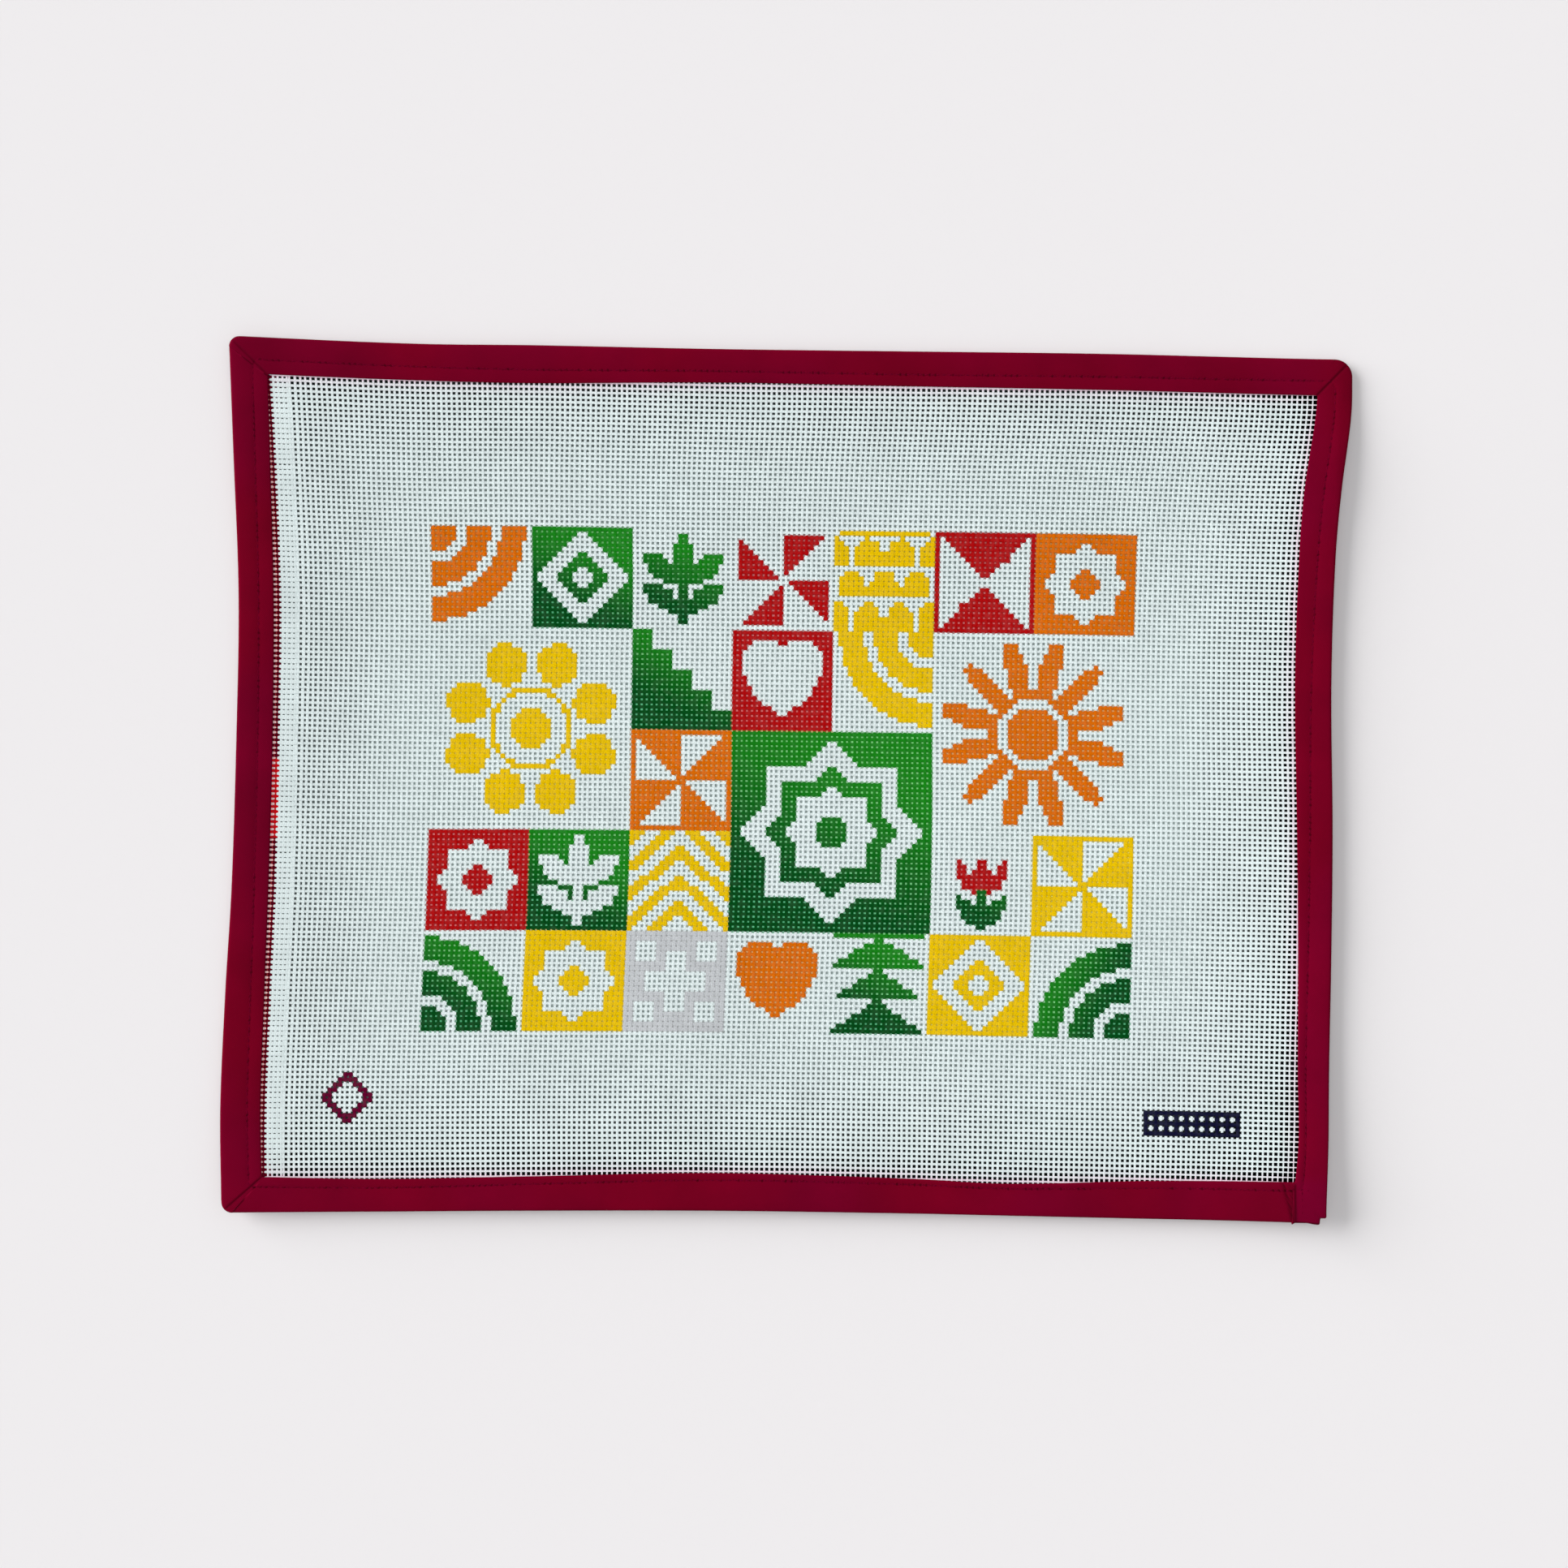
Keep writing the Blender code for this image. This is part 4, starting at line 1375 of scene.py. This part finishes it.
def lay_table(stage):
    """A flat table. Below the design its mesh follows the holes, and each hole gets a painted light tinted by
    the paint round it.
    """
    column, row = design_corner()
    columns = slice(column - 1, column + BLOCK * BLOCKS_ACROSS + 1)
    rows = slice(row - 1, row + BLOCK * BLOCKS_UP + 1)
    x, y = on_panel(*np.meshgrid(warp_places()[columns], weft_places()[rows]))
    paint = canvas_paint()[rows, columns]
    up, across = x.shape
    bpy.ops.mesh.primitive_grid_add(x_subdivisions=across + 1, y_subdivisions=up + 1, size=2)
    table = bpy.context.object
    points = np.zeros(len(table.data.vertices) * 3, np.float32)
    table.data.vertices.foreach_get("co", points)
    points = points.reshape(-1, 3)
    number = np.rint((points[:, :2] + 1) / 2 * (across + 1, up + 1)).astype(int)
    # The outermost points go to the table's edge, and the others below the crossings
    inner = np.clip(number - 1, 0, (across - 1, up - 1))
    spread = stage.table_size / 2
    for axis, (places, count) in enumerate(((x + SHIFT[0], across), (y + SHIFT[1], up))):
        points[:, axis] = places[inner[:, 1], inner[:, 0]]
        points[number[:, axis] == 0, axis] = -spread
        points[number[:, axis] == count + 1, axis] = spread
    table.data.vertices.foreach_set("co", points.reshape(-1))
    covers = np.zeros((up + 1, across + 1))
    colours = np.zeros((up + 1, across + 1, 3))
    # A hole's paint is that of the four crossings round it
    for lower in (slice(0, -1), slice(1, None)):
        for left in (slice(0, -1), slice(1, None)):
            near = paint[lower, left]
            covers[1:-1, 1:-1] += near[..., 3] / 4
            colours[1:-1, 1:-1] += near[..., :3] * near[..., 3:] / 4
    colours /= np.maximum(covers, 0.01)[..., None]
    strongest = np.maximum(colours.max(axis=-1, keepdims=True), 0.01)
    kept = LEAST_OF_COLOUR + (1 - LEAST_OF_COLOUR) * np.sqrt(colours / strongest)
    painted_glow = kept * strongest**DARKER_BELOW_DARK * stage.painted_light_below
    values = np.concatenate((np.minimum(painted_glow, 1.0), covers[..., None]), axis=-1)
    firsts = np.array([number[list(face.vertices)].min(axis=0) for face in table.data.polygons])
    note_on(table.data, "FACE", "FLOAT_COLOR", "painted_light_from_paint", values[firsts[:, 1], firsts[:, 0]])
    return table


# Settings


def length_setting(name, description, metres):
    return FloatProperty(name=name, description=description, default=metres, unit="LENGTH", precision=5)


def angle_setting(name, description, degrees):
    return FloatProperty(name=name, description=description, default=math.radians(degrees), unit="ROTATION")


def share_setting(name, description, share, least=0.0, most=10.0):
    return FloatProperty(name=name, description=description, default=share, min=least, max=most)


def colour_setting(name, description, colour):
    return FloatVectorProperty(
        name=name, description=description, default=colour, subtype="COLOR", min=0, max=1
    )


class NeedlepointWeave(bpy.types.PropertyGroup):
    pitch: length_setting("Pitch", "From one canvas thread to the next: 13 to the inch", 0.0254 / 13)
    warp_width: length_setting("Warp width", "Of a pressed upright thread", 0.00100)
    weft_width: length_setting("Weft width", "Of a pressed level thread", 0.00106)
    band_slit: length_setting("Band slit", "Between the wefts of the woven edge", 0.00031)
    thread_height: length_setting("Thread height", "Of a pressed canvas thread", 0.00036)
    dip: length_setting("Dip", "How far a thread rises and dips where it crosses another", 0.00008)
    painted_swell: share_setting("Painted swell", "How much wider paint makes a thread", 1.17, 1.0, 1.6)
    pale_swell: share_setting("Pale swell", "The same for thick pale paints", 1.42, 1.0, 1.6)
    stray: length_setting("Stray", "How far a thread wanders from its straight line", 0.00009)
    design_across: length_setting("Design across", "The painted design's middle, from the left", 0.2126)
    design_up: length_setting("Design up", "The painted design's middle, from the bottom", 0.1682)
    colour: colour_setting("Canvas", "Bare canvas thread", (0.735, 0.825, 0.825))


class NeedlepointPaints(bpy.types.PropertyGroup):
    orange: colour_setting("Orange", "Orange paint", (0.67, 0.138, 0.0))
    yellow: colour_setting("Yellow", "Yellow paint", (0.77, 0.50, 0.0))
    red: colour_setting("Red", "Red paint", (0.41, 0.002, 0.003))
    green: colour_setting("Green", "Fresh green paint", (0.008, 0.220, 0.008))
    deep_green: colour_setting("Deep green", "Dark green paint", (0.0, 0.064, 0.008))
    grey: colour_setting("Grey", "Light grey paint", (0.53, 0.55, 0.57))
    # Painted reflection of the maroon tape on the threads beside it
    painted_tape_reflection: colour_setting("Stain", "The tape's dye on the threads beside it", (0.84, 0.62, 0.74))
    loops: colour_setting("Loops", "The dyed loops outside the woven edge", (1.0, 0.64, 0.64))
    dyed: colour_setting("Catch thread", "Dyed through by the tape", (0.42, 0.01, 0.02))
    navy: colour_setting("Navy", "Dark blue marking paint", (0.005, 0.005, 0.03))
    mark: colour_setting("Mark", "Maroon marking paint", (0.115, 0.0, 0.024))


class NeedlepointBinding(bpy.types.PropertyGroup):
    layer: length_setting("Layer", "Thickness of one layer of tape", 0.0006)
    slot: length_setting("Slot", "Room for the canvas between the layers", 0.0009)
    stitch_pitch: length_setting("Stitch length", "Of the machine stitches", 0.0023)
    sewing_thread: length_setting("Sewing thread", "Its diameter", 0.00042)
    stitch_dip: length_setting("Stitch dip", "How deep the stitches draw the tape in", 0.00009)
    mitre_depth: length_setting("Mitre depth", "Of the folded line at a corner", 0.0004)
    lap_rise: length_setting("Lap rise", "How high the tape's end lies on its start", 0.0006)
    colour: colour_setting("Tape", "Dyed cotton tape", (0.158, 0.0, 0.0115))
    worn: colour_setting("Tape, cooler", "Where its dye is cooler", (0.150, 0.0, 0.0150))
    lapped: colour_setting("Tape, lapped", "Its end", (0.152, 0.0, 0.0185))
    # Painted light: the glow of the layer below where it shows past the front one
    painted_glow: share_setting("Glow", "Light that the layer below gets through the canvas", 0.60)
    # Painted light: the brighter red given to that layer
    lit: colour_setting("Tape, lit", "Where light falls through the canvas", (0.42, 0.003, 0.006))
    thread_colour: colour_setting("Sewing thread colour", "Its dye", (0.146, 0.0, 0.018))


class NeedlepointStage(bpy.types.PropertyGroup):
    distance: length_setting("Camera height", "Above the table", 1.2)
    view_width: length_setting("View width", "Of the table that the camera sees", 0.6098)
    roll: angle_setting("Camera roll", "About its own axis", 0.95)
    key_strength: share_setting("Key light", "Its strength", 4.45)
    key_height: angle_setting("Key height", "Its angle above the table", 18.5)
    key_side: angle_setting("Key side", "Its direction, from +X", 160)
    key_softness: angle_setting("Key softness", "How wide the light is in the sky", 52)
    fill_strength: share_setting("Fill light", "From all round", 0.36)
    colour: colour_setting("Table", "Pale table top", (0.81, 0.79, 0.80))
    # Painted light: how bright the tinted light painted below painted holes is
    painted_light_below: share_setting("Light below", "How light the table is below painted threads", 1.15)
    # Painted shade: the darker, greenish colour of the table below the canvas, standing in for the little
    # light that comes through the threads
    under_canvas_shade: colour_setting(
        "Table, under the canvas", "Tinted by the light through the threads", (0.40, 0.475, 0.465)
    )
    overhead: share_setting("Overhead light", "Its strength, straight down", 0.82)
    overhead_softness: angle_setting("Overhead softness", "How wide it is", 40)
    table_size: IntProperty(name="Table size", description="Its side, in metres", default=6)


SETTINGS = {
    "needlepoint_weave": NeedlepointWeave,
    "needlepoint_paints": NeedlepointPaints,
    "needlepoint_binding": NeedlepointBinding,
    "needlepoint_stage": NeedlepointStage,
}


# Operators


def dress(piece, node):
    """A finished piece rides on the panel and stands for its solid, which is hidden."""
    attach(piece, "root")
    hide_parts(node)


def canvas_thread_material(scene):
    return bpy.data.materials.get("painted_canvas_thread") or canvas_material(scene.needlepoint_weave)


class NEEDLEPOINT_OT_weave_warps(bpy.types.Operator):
    """Weave the upright threads of the canvas, with their paint"""

    bl_idname = "needlepoint.weave_warps"
    bl_label = "Weave Warps"

    def execute(self, context):
        for group in weave_threads(True, canvas_thread_material(context.scene)):
            dress(group, "canvas")
        return {"FINISHED"}


class NEEDLEPOINT_OT_weave_wefts(bpy.types.Operator):
    """Weave the level threads of the canvas, with their paint"""

    bl_idname = "needlepoint.weave_wefts"
    bl_label = "Weave Wefts"

    def execute(self, context):
        for group in weave_threads(False, canvas_thread_material(context.scene)):
            dress(group, "canvas")
        return {"FINISHED"}


class NEEDLEPOINT_OT_bind_edge(bpy.types.Operator):
    """Fold the tape over the canvas's edge and sew it on"""

    bl_idname = "needlepoint.bind_edge"
    bl_label = "Bind Edge"

    def execute(self, context):
        binding = context.scene.needlepoint_binding
        tape, front, sew_u, pitches = fold_tape(binding, tape_material(binding))
        under = front.copy()
        under[:, 2] = lift(front[:, 0] - SHIFT[0], front[:, 1] - SHIFT[1])
        lines = [(front, sew_u, pitches, 1), (under, sew_u, pitches, -1)]
        lines += crossing_rows(binding, 2 * binding.layer + binding.slot)
        stitches = stitch_rows(binding, lines, stitch_material(binding))
        dress(tape, "binding")
        dress(stitches, "binding")
        return {"FINISHED"}


class NEEDLEPOINT_OT_set_stage(bpy.types.Operator):
    """Set the table, the lights and the camera"""

    bl_idname = "needlepoint.set_stage"
    bl_label = "Set Stage"

    def execute(self, context):
        stage = context.scene.needlepoint_stage
        bpy.ops.object.select_all(action="DESELECT")
        table = lay_table(stage)
        table.name = "table_top"
        table.data.materials.append(table_material(stage))
        flat = math.cos(stage.key_height)
        key = Vector(
            (math.cos(stage.key_side) * flat, math.sin(stage.key_side) * flat, math.sin(stage.key_height))
        )
        lights = (
            (key, stage.key_strength, stage.key_softness),
            (Vector((0, 0, 1)), stage.overhead, stage.overhead_softness),
        )
        for toward, strength, softness in lights:
            turn = toward.to_track_quat("Z", "Y").to_euler()
            bpy.ops.object.light_add(type="SUN", location=toward * 2, rotation=turn)
            sun = context.object.data
            sun.energy = strength
            sun.angle = softness
            sun.color = SUN_COLOUR
        world = context.scene.world or bpy.data.worlds.new("studio")
        context.scene.world = world
        world.use_nodes = True
        sky = world.node_tree.nodes["Background"]
        sky.inputs["Color"].default_value = SKY_COLOUR
        sky.inputs["Strength"].default_value = stage.fill_strength
        above = (CAMERA_ACROSS, CAMERA_UP, stage.distance)
        bpy.ops.object.camera_add(location=above, rotation=(0.0, 0.0, stage.roll))
        camera = context.object
        camera.data.sensor_width = SENSOR_WIDTH
        camera.data.lens = SENSOR_WIDTH * stage.distance / stage.view_width
        context.scene.camera = camera
        context.scene.view_settings.view_transform = "Standard"
        return {"FINISHED"}


class NEEDLEPOINT_PT_panel(bpy.types.Panel):
    """The steps that make the panel, with their sizes and colours"""

    bl_idname = "NEEDLEPOINT_PT_panel"
    bl_label = "Needlepoint Canvas Panel"
    bl_space_type = "VIEW_3D"
    bl_region_type = "UI"
    bl_category = "Needlepoint"

    def draw(self, context):
        for name, group in SETTINGS.items():
            box = self.layout.box()
            settings = getattr(context.scene, name)
            for title in group.__annotations__:
                box.prop(settings, title)
        for operator in OPERATORS:
            self.layout.operator(operator.bl_idname)


OPERATORS = (
    NEEDLEPOINT_OT_weave_warps,
    NEEDLEPOINT_OT_weave_wefts,
    NEEDLEPOINT_OT_bind_edge,
    NEEDLEPOINT_OT_set_stage,
)


def register():
    for group in SETTINGS.values():
        bpy.utils.register_class(group)
    for name, group in SETTINGS.items():
        setattr(bpy.types.Scene, name, PointerProperty(type=group))
    for operator in OPERATORS:
        bpy.utils.register_class(operator)
    bpy.utils.register_class(NEEDLEPOINT_PT_panel)


def unregister():
    bpy.utils.unregister_class(NEEDLEPOINT_PT_panel)
    for operator in reversed(OPERATORS):
        bpy.utils.unregister_class(operator)
    for name, group in SETTINGS.items():
        delattr(bpy.types.Scene, name)
        bpy.utils.unregister_class(group)


def main():
    register()
    bpy.ops.needlepoint.weave_warps()
    bpy.ops.needlepoint.weave_wefts()
    bpy.ops.needlepoint.bind_edge()
    bpy.ops.needlepoint.set_stage()


if __name__ == "__main__":
    main()
